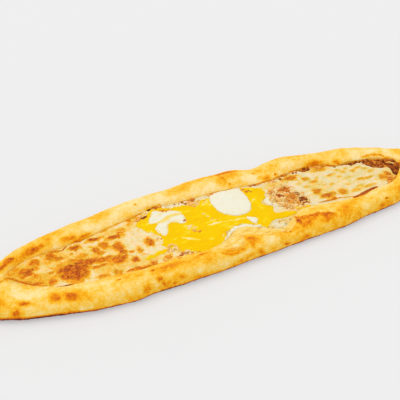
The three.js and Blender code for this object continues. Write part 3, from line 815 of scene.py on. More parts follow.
# Plan outlines of what lies in the hollow, as the few points that a closed smooth curve runs through
outlines = {
    "yolk": [(-74, 27), (-70, 12), (-61, -1), (-64, -12), (-62, -20), (-50, -31), (-33, -40), (-14, -35),
             (-3, -24), (12, -20), (24, -25), (33, -36), (42, -29), (60, -27), (53, -18), (54, -8),
             (50, 2), (60, 12), (61, 21), (52, 30), (40, 33), (20, 38), (5, 38), (-8, 32), (-20, 33),
             (-36, 37), (-50, 42), (-60, 35)],
    "roundWhite": [(3.5, 18), (4.5, 27), (8, 34), (16, 36.5), (30, 35), (41, 32.5), (41.5, 22), (40, 9),
                   (37, -1), (31, -6.5), (23, -8), (13, -5), (6, 5)],
    "swirl": [(-62, 21), (-58, 31), (-51, 38), (-44, 33), (-34, 31), (-28, 25), (-28, 15), (-30, 8),
              (-34, 6), (-38, 9), (-43, 13), (-49, 10), (-52, 2), (-57, -2), (-61, 5), (-59.5, 13),
              (-57, 17.5), (-60, 19.5)],
    "edgeWhite": [(33, -38), (37, -33), (45, -31), (54, -31), (61, -34), (61, -39), (56, -43), (47, -46),
                  (37, -44)],
    "cluster": [(63, -6), (62, 8), (70, 15), (82, 15), (89, 8), (92, -4), (91, -18), (82, -22), (68, -21)],
    "pocket": [(182, 18), (181, 8), (186, 1), (192, -3), (199, -6), (198, -13), (197, -20), (203, -22),
               (210, -14), (212, 0), (205, 10), (195, 15), (188, 19)],
}


def smoothRing(points):
    # closed curve through the points, with even speed by the root of their distances
    stepsEach = 6
    p = np.array(points, float)
    ring = []
    for i in range(len(p)):
        a, b, c, d = p[i - 1], p[i], p[(i + 1) % len(p)], p[(i + 2) % len(p)]
        t0 = 0
        t1 = t0 + np.linalg.norm(b - a) ** 0.5
        t2 = t1 + np.linalg.norm(c - b) ** 0.5
        t3 = t2 + np.linalg.norm(d - c) ** 0.5
        for t in np.linspace(t1, t2, stepsEach, endpoint=False):
            ab = blend(a, b, (t - t0) / (t1 - t0))
            bc = blend(b, c, (t - t1) / (t2 - t1))
            cd = blend(c, d, (t - t2) / (t3 - t2))
            abc = blend(ab, bc, (t - t0) / (t2 - t0))
            bcd = blend(bc, cd, (t - t1) / (t3 - t1))
            ring.append(blend(abc, bcd, (t - t1) / (t2 - t1)))
    return np.array(ring)


rings = {name: smoothRing(points) for name, points in outlines.items()}


def ringDepth(ring, x, y):
    # how far inside a closed ring a point lies; negative outside
    away = np.full(np.broadcast(x, y).shape, huge)
    inside = np.zeros(away.shape, bool)
    for a, b in zip(ring, np.roll(ring, -1, 0)):
        away = np.minimum(away, lineDistance((a, b), x, y)[0])
        if a[1] != b[1]:
            crosses = (a[1] > y) != (b[1] > y)
            inside ^= crosses & (x < a[0] + (b[0] - a[0]) * (y - a[1]) / (b[1] - a[1]))
    return np.where(inside, away, -away)


def hollowDepth(x, y):
    # how far inside the hollow's lip a point lies
    left, right = hollow["fillingEnds"]
    sides = np.minimum(lipEdge(x, far) - y, y - lipEdge(x, near))
    return np.minimum(sides, np.minimum(x - left, right - x))


# Every layer of filling is a closed sheet. Cells a little past its edge are kept, and drawn back onto it
sheetEdge = {"past": 0.45, "farthest": 1.2, "leastSlope": 0.5, "leastDepth": 0.05}


def makeSheet(name, depthOf, topOf, edgeOf, low, shape, box, fieldsOf):
    # lies where depthOf is above 0: its top follows topOf, rounds over near its edge and meets edgeOf there,
    # and its underside is at low; shape holds the rounding and the size of its cells
    x0, x1, y0, y1 = box
    step = shape["step"]
    x, y = np.meshgrid(np.arange(x0, x1 + step, step), np.arange(y0, y1 + step, step), indexing="ij")
    depth = depthOf(x, y)
    within = depth > -sheetEdge["past"] * step
    cell = largestPatch(within[:-1, :-1] & within[1:, :-1] & within[:-1, 1:] & within[1:, 1:])
    used = np.zeros(x.shape, int)
    for i in (0, 1):
        for j in (0, 1):
            used[i:used.shape[0] - 1 + i, j:used.shape[1] - 1 + j] += cell
    shown = used > 0
    rim = shown & (used < 4)
    inner = shown & ~rim
    slopeX, slopeY = np.gradient(depth, step)
    steep = np.maximum(np.hypot(slopeX, slopeY), sheetEdge["leastSlope"])
    farthest = sheetEdge["farthest"] * step
    move = np.where(rim, np.clip(depth / steep, -farthest, farthest), 0)
    x = x - slopeX / steep * move
    y = y - slopeY / steep * move
    depth = np.where(rim, 0, np.maximum(depth, sheetEdge["leastDepth"]))
    rise = np.sqrt(1 - (1 - np.clip(depth / shape["rounding"], 0, 1)) ** 2)
    top = blend(levelAt(edgeOf, x, y), topOf(x, y), rise)
    topIndex = np.full(x.shape, -1)
    topIndex[shown] = np.arange(shown.sum())
    lowIndex = topIndex.copy()
    lowIndex[inner] = shown.sum() + np.arange(inner.sum())
    points = np.concatenate([
        np.stack([x[shown], y[shown], top[shown]], -1),
        np.stack([x[inner], y[inner], levelAt(low, x, y)[inner]], -1)])
    i, j = np.nonzero(cell)
    ups = np.stack([topIndex[i, j], topIndex[i + 1, j], topIndex[i + 1, j + 1], topIndex[i, j + 1]], -1)
    downs = np.stack([lowIndex[i, j + 1], lowIndex[i + 1, j + 1], lowIndex[i + 1, j], lowIndex[i, j]], -1)
    values = {}
    for key, field in fieldsOf(x, y, depth).items():
        values[key] = np.concatenate([field[shown], field[inner]])
    return addMesh(name, points, [*ups.tolist(), *downs.tolist()], values)


def levelAt(level, x, y):
    # a level is a height or a function that gives one
    return np.broadcast_to(level(x, y) if callable(level) else level, x.shape)


def largestPatch(cell):
    # keeps the largest group of cells that touch, so that no scraps are left
    label = np.where(cell, np.arange(1, cell.size + 1).reshape(cell.shape), 0)
    while True:
        spread = label.copy()
        spread[1:] = np.maximum(spread[1:], label[:-1])
        spread[:-1] = np.maximum(spread[:-1], label[1:])
        spread[:, 1:] = np.maximum(spread[:, 1:], label[:, :-1])
        spread[:, :-1] = np.maximum(spread[:, :-1], label[:, 1:])
        spread = np.where(cell, spread, 0)
        spread = np.where(cell, label.ravel()[np.maximum(spread - 1, 0)].reshape(cell.shape), 0)
        if (spread == label).all():
            break
        label = np.maximum(spread, label)
    names, counts = np.unique(label[cell], return_counts=True)
    return label == names[counts.argmax()]


# Minced meat: the bed under everything, and the three places where it lies bare
meat = {
    "top": 7.8, "underLip": 2.8,
    "strip": {"from": 62, "to": 186, "width": 8, "wander": 0.35},
    "mounds": {"cluster": 9.6, "pocket": 9.2, "strip": 9.0},
    "moundEdge": (-1, 3),
    "grain": [(5, 0.5), (1.8, 0.35)],
    # the tone from 0, dark brown, to 1, cream, and how much cream lies on the mound: (value, size, how much)
    "tone": (0.3, 4, 0.3), "cream": (0.55, 5, 0.6), "creamEdge": (-3, 3),
    "overFloor": 0.35, "edgeOverFloor": 2, "edgeUnderTop": 0.4, "edgeThickness": 0.6,
    "underDough": 0.4, "rounding": 1.5, "step": 1.2, "across": (-48, 52),
}


def stripDepth(x, y):
    strip = meat["strip"]
    width = strip["width"] * (1 + strip["wander"] * waver(x, 1))
    band = y - (lipEdge(x, far) - width)
    return np.minimum(band, np.minimum(x - strip["from"], strip["to"] - x))


def bareDepth(x, y):
    return {
        "cluster": ringDepth(rings["cluster"], x, y),
        "pocket": ringDepth(rings["pocket"], x, y),
        "strip": stripDepth(x, y),
    }


def meatHeight(x, y):
    height = np.maximum(meat["top"], lipLevel(x) - meat["underLip"])
    height = height + planLayers(meat["grain"], x, y, seed=60)
    for name, depth in bareDepth(x, y).items():
        height = height + (meat["mounds"][name] - meat["top"]) * smoothStep(*meat["moundEdge"], depth)
    return height


def meatFields(x, y, depth):
    cream = smoothStep(*meat["creamEdge"], bareDepth(x, y)["cluster"]) * patchy(meat["cream"], x, y, seed=70)
    return {"cream": np.clip(cream, 0, 1), "tone": np.clip(patchy(meat["tone"], x, y, seed=71), 0, 1)}


def makeMeatBed():
    def depthOf(x, y):
        return hollowDepth(x, y) + meat["underDough"]

    def edgeOf(x, y):
        return np.minimum(floorLevel(x) + meat["edgeOverFloor"], meatHeight(x, y) - meat["edgeUnderTop"])

    def lowOf(x, y):
        return np.minimum(floorLevel(x) + meat["overFloor"], edgeOf(x, y) - meat["edgeThickness"])

    box = (*hollow["fillingEnds"], *meat["across"])
    return makeSheet("meatBed", depthOf, meatHeight, edgeOf, lowOf, meat, box, meatFields)


meatColours = {
    "stops": [(0.0, (84, 30, 2)), (0.2, (148, 66, 10)), (0.38, (202, 112, 30)), (0.56, (232, 150, 44)),
              (0.76, (240, 190, 98)), (1.0, (242, 218, 162))],
    "creamStops": [(0.3, (226, 142, 40)), (0.5, (241, 192, 88)), (0.7, (245, 218, 148))],
    "creamSize": 2,
    "bedWobble": [(3, 0.4), (1.2, 0.5)], "crumbWobble": [(1.6, 0.3), (0.7, 0.3)],
    "grain": {"size": 1.6, "finer": [(0.6, 0.5)], "depth": 0.5},
    "finish": {"Roughness": 0.5, "Specular IOR Level": 0.08, "Coat Weight": 0.03, "Coat Roughness": 0.3},
}


def makeMinced(name, spread):
    material, tree, shader, place = startMaterial(name, meatColours["finish"])
    tone = wobble(tree, addValue(tree, "tone"), place, spread)
    colour = addRamp(tree, tone, meatColours["stops"])
    cream = addRamp(tree, addNoise(tree, place, meatColours["creamSize"]), meatColours["creamStops"])
    tree.links.new(addMix(tree, addValue(tree, "cream"), colour, cream), shader.inputs["Base Color"])
    addGrain(tree, shader, place, meatColours["grain"])
    return material


finishPiece(makeMeatBed(), makeMinced("greasyMince", meatColours["bedWobble"]), "meat", "meat")


# Melted cheese, left and right of the egg
fillingLow = 8.15  # the level of the undersides of the cheese and the egg
cheese = {
    "top": 10.0, "underFloor": 0.4,
    "wander": (0.3, 6),  # how far, and how slowly its waves turn across the hollow
    # at the left end the cheese comes up to the lip, has a thick edge and runs farther under the dough
    "underLip": (-206, -196, 0.8), "leftEdge": (-196, -202), "leftRun": (-198, -203, 3.4),
    "reach": {"left": (-210, -46), "right": (36, 204)}, "across": (-46, 50),
    "underDough": 0.35, "underDoughUneven": (7, 0.35), "underEgg": 3.5,
    "ragged": [(6, 1.1), (2, 0.6)], "bareRagged": 1.2,
    "rounding": 1.0, "step": 0.6, "edgeThickness": 0.6, "overMeat": 0.05, "edgeUnderTop": 0.1,
    "swell": [(9, 0.28), (3.2, 0.12)],
    "clusterRagged": 2.4, "clusterEdge": (0.3, 6, 1),
    # how much of the bare strip by the far rim the cheese leaves open: (x, how far it fades, millimetres)
    "stripOpen": [(64, 8, 0.8), (80, 10, 1.2), (96, 6, 2.2), (119, 6, 7.5), (134, 7, 7), (149, 5, 1.5),
                  (168, 8, 5.5), (187, 6, 6)],
}
# Browned blisters: (x, y, half length, half width, how dark)
blisters = {
    "left": [(-152, -6, 10, 8, 0.97), (-150, -15, 7.5, 7, 0.92), (-141, -4, 8, 6, 0.96),
             (-143, -13, 6, 7, 0.86), (-131, -3, 7, 3.4, 0.88), (-123, -6, 6, 3.4, 0.82),
             (-127, -13, 7, 1.8, 0.8), (-158, -12, 5, 5, 0.88), (-186, 10, 8, 3.4, 0.94),
             (-188, 4.5, 6, 2, 0.82), (-176, 17, 4, 4.4, 0.82), (-161, 18, 5, 5, 0.86),
             (-199, 11, 3.4, 2.4, 0.64), (-193, 16, 3, 2.6, 0.64), (-181, 0, 3, 1.8, 0.66),
             (-206, 6, 4, 1.6, 0.7), (-155, 13, 4.4, 2.8, 0.84), (-137, 21, 4.4, 2.6, 0.9),
             (-117, 24, 6.5, 2.3, 0.95), (-113, 12, 4.6, 4.2, 0.8), (-122, 9, 3, 5.4, 0.8),
             (-119, 3, 3.2, 2.6, 0.74), (-168, -2, 3, 2.4, 0.66), (-171, -14, 4.6, 4, 0.74),
             (-183, -10, 6, 2.2, 0.84), (-143, 14, 2, 2, 0.66), (-134, 7, 5.6, 3, 0.58),
             (-146, 6, 3, 2.4, 0.62), (-108, -12, 7, 6, 0.86), (-115, -6, 3.6, 3.2, 0.84),
             (-102, 4, 3.6, 6.4, 0.86), (-101, -4, 3.4, 3.4, 0.9), (-99, 19, 7, 2.6, 0.92),
             (-92, 22, 4, 1.4, 0.8), (-95, -20, 4, 3.6, 0.84), (-94, -8, 1.8, 1.8, 0.76),
             (-86, -9, 2.2, 3.6, 0.74), (-73, -3, 3.2, 4.2, 0.9), (-129, -27, 4.6, 2.4, 0.72),
             (-116, -28, 3.6, 4, 0.7), (-100, -31, 6, 1.8, 0.78), (-92, -34, 7, 1.6, 0.82),
             (-82, -33, 2.4, 4, 0.8), (-68, -31, 3.6, 3.4, 0.74), (-107, 33, 5, 2.6, 0.62),
             (-90, 27, 5, 3, 0.56), (-78, 37, 3, 3.4, 0.7), (-158, 24, 8, 1.4, 0.64),
             (-71, 35, 3.4, 2.4, 0.6), (-80, 30, 3, 2, 0.56), (-65, 38, 3, 2, 0.56)],
    "right": [(108, -8, 4, 4.2, 0.76), (113, -18, 6.4, 3.2, 0.84), (116, -25, 3, 2, 0.8),
              (131, -20, 4.4, 3.4, 0.72), (110, 16, 3.4, 2.6, 0.58), (115, 8, 4, 2.2, 0.6),
              (130, -4, 3, 1.8, 0.5), (136, 10, 4.6, 1.6, 0.6), (152, 9, 2.4, 2, 0.46),
              (161, -10, 4, 1.4, 0.62), (168, -12, 7, 1.6, 0.6), (169, 8, 3.4, 2.4, 0.52),
              (162, 6, 3, 2, 0.5), (184, -18, 5, 3.4, 0.66), (190, -14, 3, 4, 0.66),
              (189, -24, 4, 2.4, 0.64), (186, -28, 4, 2, 0.6), (150, -2, 5, 1.6, 0.4),
              (177, -4, 3, 1.6, 0.46), (145, -24, 5, 2.6, 0.48), (134, 23, 7, 2.6, 0.66),
              (121, 12, 2, 1.6, 0.42), (143, 3, 3, 1.6, 0.42), (148, 14, 3, 1.8, 0.44),
              (157, 12, 2.4, 1.6, 0.5), (175, 3, 3, 2, 0.5), (179, -2, 3, 1.6, 0.44),
              (143, -12, 3, 1.6, 0.4), (124, -8, 2.4, 1.6, 0.36), (152, -20, 4, 2, 0.44),
              (160, -24, 7, 1.8, 0.5), (100, 12, 3, 2, 0.4), (74, 21, 4, 2, 0.5), (97, 24, 6.4, 3.4, 0.8),
              (121, -2, 3, 1.4, 0.4), (104, 3, 2.4, 2, 0.46)],
}
cheeseTone = {
    "yellow": [(-192, 12, 20, 12, 0.5), (-160, 15, 22, 10, 0.4), (-140, 4, 22, 9, 0.46),
               (-182, -4, 18, 9, 0.5), (-204, 5, 10, 6, 0.5), (-170, -12, 10, 8, 0.5),
               (132, 25, 12, 6, 0.46), (186, -20, 9, 8, 0.45), (-118, -18, 18, 14, 0.38),
               (-104, 2, 12, 18, 0.26), (-96, 26, 20, 6, 0.38), (-88, -26, 24, 8, 0.32),
               (150, 0, 40, 20, 0.14), (112, -4, 12, 14, 0.26), (188, -18, 14, 10, 0.4),
               (75, 22, 12, 6, 0.3), (74, -30, 16, 7, 0.32)],
    "base": {"left": 0.05, "right": 0.0},
    "patchiness": [(13, 0.14), (4.5, 0.2), (2, 0.14)],
    "softness": 0.25, "yellowSoftness": 0.6, "yellowUneven": (0, 5, 0.1),
    # the paler ring round each blister: how much larger, how soft, how dark at most
    "halo": {"larger": 1.35, "softness": 0.8, "darkest": 0.52},
    # the grain of the blisters, whose lighter specks are partly painted glints on the crisp browned patches:
    # (size, how much where they are light, how much where they are dark)
    "crackle": (1.8, 0.14, 0.42), "crackleFrom": (0.66, 0.78),
    "ragged": (3.4, 1.8), "uneven": (3.0, 0.5),
    "darkest": 0.85,
    "dull": {"left": (-0.05, 4, 0.9), "right": (0.5, 4, 0.9)},  # (value, size of the patches, how much)
    # the browned edge of the right cheese from (x, to) on: how dark, how wide
    "edge": {"x": (52, 60), "darkest": 0.44, "width": 1.8},
    "lipEdge": (0.2, 1.8),
    # what stands up from the cheese: (cover from, to, height), and the crisp tops of the darkest blisters
    "blisterRise": (0.2, 0.7, 0.4), "lineRise": (0.3, 0.8, 0.5),
    "crispFrom": (0.66, 0.84), "crisp": (0.3, 2.2, 0.9),
    "lineRagged": (4, 0.8), "lineEdge": (0.4, 0.3), "lineUneven": (0.9, 5, 0.3),
    # browned edges and cracks, and dark lines along the lips, partly browned and partly painted shadow of
    # the crack under the rim's fold: (path, width, how dark)
    "lines": {
        "left": [([(-208, 7), (-203, 5), (-196, -0.6), (-190, -6), (-186.6, -9.3), (-181.6, -13),
                   (-176, -17)],
                  2.6, 0.84),
                 ([(-204, 6.8), (-199.3, 4.6), (-193.9, -0.6), (-188, -4.6), (-182.5, -9.4)], 1.3, 0.8),
                 ([(-173, -22), (-163, -24), (-156, -25)], 1.8, 1.1),
                 ([(-165, 22), (-158, 25), (-148, 23), (-140, 29), (-130, 27), (-120, 31)], 1.3, 0.86),
                 ([(-120, 31), (-104, 36), (-95, 38), (-85, 39), (-77, 41), (-55, 42)], 1.2, 0.9),
                 ([(-110, -31), (-100, -32), (-88, -34), (-76, -36)], 1.6, 0.8),
                 ([(-90, -10), (-84, -16), (-80, -20)], 1.2, 0.55)],
        "right": [([(99, -24), (109, -26), (117, -27), (124, -28)], 2.4, 0.84),
                  ([(122, -28), (130, -30), (138, -33)], 1.8, 0.66),
                  ([(134, -34), (144, -33), (152, -31.5), (160, -30), (166, -29.5)], 5.4, 1.08),
                  ([(140, 26), (146, 23), (151, 20)], 1.8, 0.95)],
    },
}


def cheeseHeight(x, y):
    left, right, below = cheese["underLip"]
    push, longer = cheese["wander"]
    height = np.maximum(cheese["top"], lipLevel(x) - below * smoothStep(left, right, x))
    return height + push * waver(x, y / longer) + planLayers(cheese["swell"], x, y, seed=80)


def cheeseLow(x, y):
    return np.maximum(fillingLow, floorLevel(x) - cheese["underFloor"])


def cheeseLine(side, x, y):
    atX, atY = raggedPlan(cheeseTone["lineRagged"], x, y, seed=96)
    cover = strandCover(cheeseTone["lines"][side], cheeseTone["lineEdge"], atX, atY)
    return cover * patchy(cheeseTone["lineUneven"], x, y, seed=98)


def blisterCover(places, x, y, grow, softness):
    atX, atY = raggedPlan(cheeseTone["ragged"], x, y, seed=90)
    size, amount = cheeseTone["uneven"]
    uneven = amount * planNoise(x, y, size, seed=92)
    grown = [(a, b, c * grow, d * grow, e) for a, b, c, d, e in places]
    return cheeseTone["darkest"] * spots(grown, atX, atY, softness, uneven)


def raised(shape, cover):
    low, high, height = shape
    return height * smoothStep(low, high, cover)


def cheeseTopOf(side):
    def topOf(x, y):
        cover = blisterCover(blisters[side], x, y, 1, cheeseTone["softness"])
        crisp = smoothStep(*cheeseTone["crispFrom"], cover) * patchy(cheeseTone["crisp"], x, y, seed=95)
        ridge = raised(cheeseTone["lineRise"], cheeseLine(side, x, y))
        return cheeseHeight(x, y) + raised(cheeseTone["blisterRise"], cover) + crisp + ridge

    return topOf


def cheeseEdges(side, x, y, depth):
    # the browned edge next to the egg and the meat, and by the rims a dark edge, partly browned and partly
    # painted shadow under the rim's fold
    edge = cheeseTone["edge"]
    tone = np.zeros(x.shape)
    if side == "right":
        tone = edge["darkest"] * (1 - smoothStep(0, edge["width"], depth)) * smoothStep(*edge["x"], x)
    for rim in (far, near):
        close = 1 - smoothStep(*cheeseTone["lipEdge"], np.abs(lipEdge(x, rim) - y))
        tone = np.maximum(tone, stretchDark(x, rim) * close)
    return tone


def cheeseFields(side):
    places, halo = blisters[side], cheeseTone["halo"]

    def fieldsOf(x, y, depth):
        # how brown the cheese is, with painted glints in the blisters and painted shadow by the rims
        brownAndPaintedLight = cheeseTone["base"][side] + planLayers(cheeseTone["patchiness"], x, y, seed=100)
        yellow = blisterCover(cheeseTone["yellow"], x, y, 1, cheeseTone["yellowSoftness"])
        brownAndPaintedLight = np.maximum(brownAndPaintedLight, yellow + patchy(cheeseTone["yellowUneven"], x, y, seed=104))
        ring = blisterCover(places, x, y, halo["larger"], halo["softness"])
        brownAndPaintedLight = np.maximum(brownAndPaintedLight, np.minimum(ring, halo["darkest"]))
        cover = blisterCover(places, x, y, 1, cheeseTone["softness"])
        # browned grain in the blisters, its lighter specks partly painted glints
        size, light, dark = cheeseTone["crackle"]
        amount = blend(light, dark, smoothStep(*cheeseTone["crackleFrom"], cover))
        brownAndPaintedLight = np.maximum(brownAndPaintedLight, cover * (1 + amount * planNoise(x, y, size, seed=105)))
        brownAndPaintedLight = np.maximum(brownAndPaintedLight, cheeseLine(side, x, y))
        brownAndPaintedLight = np.maximum(brownAndPaintedLight, cheeseEdges(side, x, y, depth))
        dull = patchy(cheeseTone["dull"][side], x, y, seed=106)
        return {"brownAndPaintedLight": np.clip(brownAndPaintedLight, 0, 1), "dull": np.clip(dull, 0, 1)}

    return fieldsOf


def cheeseDepth(x, y):
    left, right, push = cheese["leftRun"]
    size, amount = cheese["underDoughUneven"]
    depth = hollowDepth(x, y) + cheese["underDough"] + amount * planNoise(x, y, size, seed=115)
    depth = depth + push * smoothStep(left, right, x)
    depth = np.minimum(depth, cheese["underEgg"] - ringDepth(rings["yolk"], x, y))
    bare = bareDepth(x, y)
    bare["strip"] = np.minimum(bare["strip"], y - lipEdge(x, far) + hills(cheese["stripOpen"], x))
    overCluster = cheese["clusterRagged"] * patchy(cheese["clusterEdge"], x, y, seed=116)
    bare["cluster"] = bare["cluster"] - overCluster
    ragged = cheese["bareRagged"] * planLayers(cheese["ragged"], x, y, seed=110)
    for itsDepth in bare.values():
        depth = np.minimum(depth, ragged - itsDepth)
    return depth


def makeCheese(name, side):
    left, right = cheese["reach"][side]

    def depthOf(x, y):
        return np.minimum(cheeseDepth(x, y), np.minimum(x - left, right - x))

    def edgeOf(x, y):
        edge = np.maximum(cheeseLow(x, y) + cheese["edgeThickness"], meatHeight(x, y) + cheese["overMeat"])
        return blend(edge, cheeseHeight(x, y) - cheese["edgeUnderTop"], smoothStep(*cheese["leftEdge"], x))

    box = (left - 1, right + 1, *cheese["across"])
    return makeSheet(name, depthOf, cheeseTopOf(side), edgeOf, cheeseLow, cheese, box, cheeseFields(side))


cheeseColours = {
    "stops": [(0.0, (240, 223, 190)), (0.14, (242, 214, 148)), (0.28, (243, 202, 98)),
              (0.42, (240, 179, 32)), (0.56, (233, 150, 0)), (0.7, (221, 121, 0)), (0.84, (203, 93, 6)),
              (1.0, (138, 54, 14))],
    "wobble": [(6, 0.24), (2.4, 0.42), (1.0, 0.5)],
    # the blisters are a net of dark and light threads, the light ones partly painted highlight: (size, how
    # much, how brown where they start)
    "threads": (0.8, 3.4, 0.55),
    # the pale parts lean now to pink, now to green, and are dull in places
    "mottle": [(0.34, (255, 234, 216)), (0.46, (255, 248, 240)), (0.54, (252, 252, 246)),
               (0.66, (240, 250, 238))],
    "mottleSize": 3.5, "mottleStretch": 0.55,
    "dull": (234, 241, 234),
    "gloss": (2, 0.4, 0.22),
    # browned cheese is rougher: (fine grain, how much of it everywhere, swell, how much)
    "grain": {"fine": 1.3, "least": 0.3, "swell": 4, "amount": 0.6, "depth": 0.9},
    "finish": {"Specular IOR Level": 0.09, "Subsurface Weight": 0.06, "Subsurface Scale": 0.0015,
               "Subsurface Radius": (1.0, 0.6, 0.3), "Coat Weight": 0.03, "Coat Roughness": 0.15},
}


def makeMelted():
    material, tree, shader, place = startMaterial("meltedCheese", cheeseColours["finish"])
    # the cheese's brown value also holds painted glints and painted shadow by the rims
    brown = addValue(tree, "brownAndPaintedLight")
    # dark and light threads over the blisters, the light ones partly painted highlight
    size, amount, start = cheeseColours["threads"]
    toasted = addMath(tree, "MAXIMUM", addMath(tree, "SUBTRACT", brown, start), 0)
    thread = addMath(tree, "SUBTRACT", addNoise(tree, place, size), 0.5)
    thread = addMath(tree, "MULTIPLY", thread, addMath(tree, "MULTIPLY", toasted, amount))
    brownAndPaintedLight = addMath(tree, "ADD", wobble(tree, brown, place, cheeseColours["wobble"]), thread)
    colour = addRamp(tree, brownAndPaintedLight, cheeseColours["stops"])
    drawnOut = addStretch(tree, place, cheeseColours["mottleStretch"])
    mottle = addRamp(tree, addNoise(tree, drawnOut, cheeseColours["mottleSize"]), cheeseColours["mottle"])
    tint = addMix(tree, addValue(tree, "dull"), mottle, (*linear(cheeseColours["dull"]), 1))
    tree.links.new(addMix(tree, 1.0, colour, tint, "MULTIPLY"), shader.inputs["Base Color"])
    grain = cheeseColours["grain"]
    rough = addMath(tree, "MULTIPLY", addNoise(tree, place, grain["fine"]),
                    addMath(tree, "ADD", brown, grain["least"]))
    swell = addMath(tree, "MULTIPLY", addNoise(tree, place, grain["swell"]), grain["amount"])
    addBump(tree, shader, addMath(tree, "ADD", rough, swell), grain["depth"])
    addGloss(tree, shader, place, cheeseColours["gloss"])
    return material


melted = makeMelted()
for side in ("left", "right"):
    finishPiece(makeCheese("meltedCheese_" + side, side), melted, "cheese", "cheese_" + side)


# The yolk that has run, with streaks of white stirred into it
yolk = {
    "top": 10.55, "edge": 9.6, "rounding": 1.4, "step": 0.7, "box": (-92, 94, -46, 50),
    "wander": (0.15, 9), "relief": (0, 8, 0.12),
    "ragged": [(9, 2.0), (4, 2.2), (1.8, 1.4)],
    "overlap": 0.4, "underDough": 0.6, "underWhite": 3.0,
    # how far the pool stays off the far rim: (x, how far it fades, how far off)
    "offFar": [(-64, 9, 5), (-12, 15, 7.5), (16, 14, 5), (-36, 12, 1.5)],
    # runs that leave the pool: (path, width)
    "runs": [([(-86, -24), (-80, -23), (-72, -21), (-63, -20)], 6),
             ([(44, -22), (54, -25), (64, -26), (72, -25)], 8),
             ([(66, -25), (76, -24), (89, -25)], 4.6),
             ([(29, -33), (30, -37), (28, -41)], 4)],
    # pale streaks: (path, width, how pale)
    "streaks": [([(-44, -12), (-38, -17), (-31, -22)], 4.4, 1.0), ([(-14, -6), (-8, -6.5), (0, -8)], 5, 1.0),
                ([(-2, -7.5), (9, -10), (17, -12), (25, -14)], 2.6, 0.8),
                ([(-4, -3), (6, -5), (18, -8)], 1.6, 0.5), ([(-34, 3), (-31, -5), (-24, -14)], 9, 0.62),
                ([(-30, 2), (-25, -5)], 4, 0.7), ([(-10, 0), (-6, -2), (-1, -3)], 5, 0.62),
                ([(-10, 15), (-8, 8), (-6, 0)], 4, 0.6), ([(-6, 24), (0, 26), (4, 30)], 6, 0.7),
                ([(44, 10), (45, 2), (48, -6)], 4, 0.35), ([(46, 22), (50, 25), (54, 29)], 4, 0.6),
                ([(-22, 12), (-14, 10), (-8, 12)], 5, 0.3), ([(26, -24), (29, -29), (30, -34)], 3, 0.6),
                ([(-68, 22), (-72, 14), (-66, 4)], 2, 0.3)],
    "streakRagged": (5, 1.6), "streakEdge": (0.8, 0.35), "streakUneven": (0.85, 2, 0.4),
    # pale flecks all over, twice as long as wide: (size, from, to, how pale)
    "flecks": (4, 0.1, 0.5, 0.6),
    # the thin edge of the pool is paler: (how wide, how pale), and how uneven
    "thinEdge": (1.5, 0.55), "thinUneven": (0, 3, 0.9),
}


def yolkDepth(x, y):
    depth = ringDepth(rings["yolk"], x, y) + yolk["overlap"]
    for path, width in yolk["runs"]:
        depth = np.maximum(depth, strandDepth(path, width, x, y))
    depth = np.minimum(depth, lipEdge(x, far) - y - hills(yolk["offFar"], x))
    ragged = planLayers(yolk["ragged"], x, y, seed=120)
    return np.minimum(depth + ragged, hollowDepth(x, y) + yolk["underDough"])


def yolkHeight(x, y):
    push, longer = yolk["wander"]
    return yolk["top"] + push * waver(x, y / longer) + patchy(yolk["relief"], x, y, seed=125)


def yolkFields(x, y, depth):
    atX, atY = raggedPlan(yolk["streakRagged"], x, y, seed=130)
    pale = strandCover(yolk["streaks"], yolk["streakEdge"], atX, atY)
    pale = pale * patchy(yolk["streakUneven"], x, y, seed=133)
    size, low, high, much = yolk["flecks"]
    pale = np.maximum(pale, much * smoothStep(low, high, planNoise(x / 2, y, size, seed=134)))
    width, much = yolk["thinEdge"]
    thin = 1 - smoothStep(0, width, depth + patchy(yolk["thinUneven"], x, y, seed=132))
    return {"pale": np.clip(np.maximum(pale, much * thin), 0, 1)}


def makeYolk():
    def depthOf(x, y):
        depth = yolkDepth(x, y)
        for name in ("roundWhite", "swirl"):
            depth = np.minimum(depth, yolk["underWhite"] - ringDepth(rings[name], x, y))
        return depth

    return makeSheet(
        "runnyYolk", depthOf, yolkHeight, yolk["edge"], fillingLow, yolk, yolk["box"], yolkFields)


yolkColours = {
    "stops": [(0.0, (238, 180, 0)), (0.35, (240, 197, 0)), (0.56, (241, 204, 0)), (0.75, (242, 213, 84)),
              (1.0, (242, 228, 188))],
    # broad patches, and how far the pale streaks move the tone: (size, how much), how much
    "patches": (14, 0.5), "pale": 0.75,
    "wobble": [(4, 0.25), (1.3, 0.2)],
    "gloss": (3, 0.3, 0.12),
    "grain": {"size": 6, "finer": [(1.6, 0.3)], "depth": 0.5},
    "finish": {"Specular IOR Level": 0.02, "Subsurface Weight": 0.05, "Subsurface Scale": 0.002,
               "Subsurface Radius": (1.0, 0.7, 0.1)},
}


def makeYolkMaterial():
    material, tree, shader, place = startMaterial("glossyYolk", yolkColours["finish"])
    size, amount = yolkColours["patches"]
    patches = addMath(tree, "MULTIPLY", addNoise(tree, place, size), amount)
    pale = addMath(tree, "MULTIPLY", addValue(tree, "pale"), yolkColours["pale"])
    tone = wobble(tree, addMath(tree, "ADD", patches, pale), place, yolkColours["wobble"])
    tree.links.new(addRamp(tree, tone, yolkColours["stops"]), shader.inputs["Base Color"])
    addGrain(tree, shader, place, yolkColours["grain"])
    addGloss(tree, shader, place, yolkColours["gloss"])
    return material


finishPiece(makeYolk(), makeYolkMaterial(), "yolk", "egg_yolk")


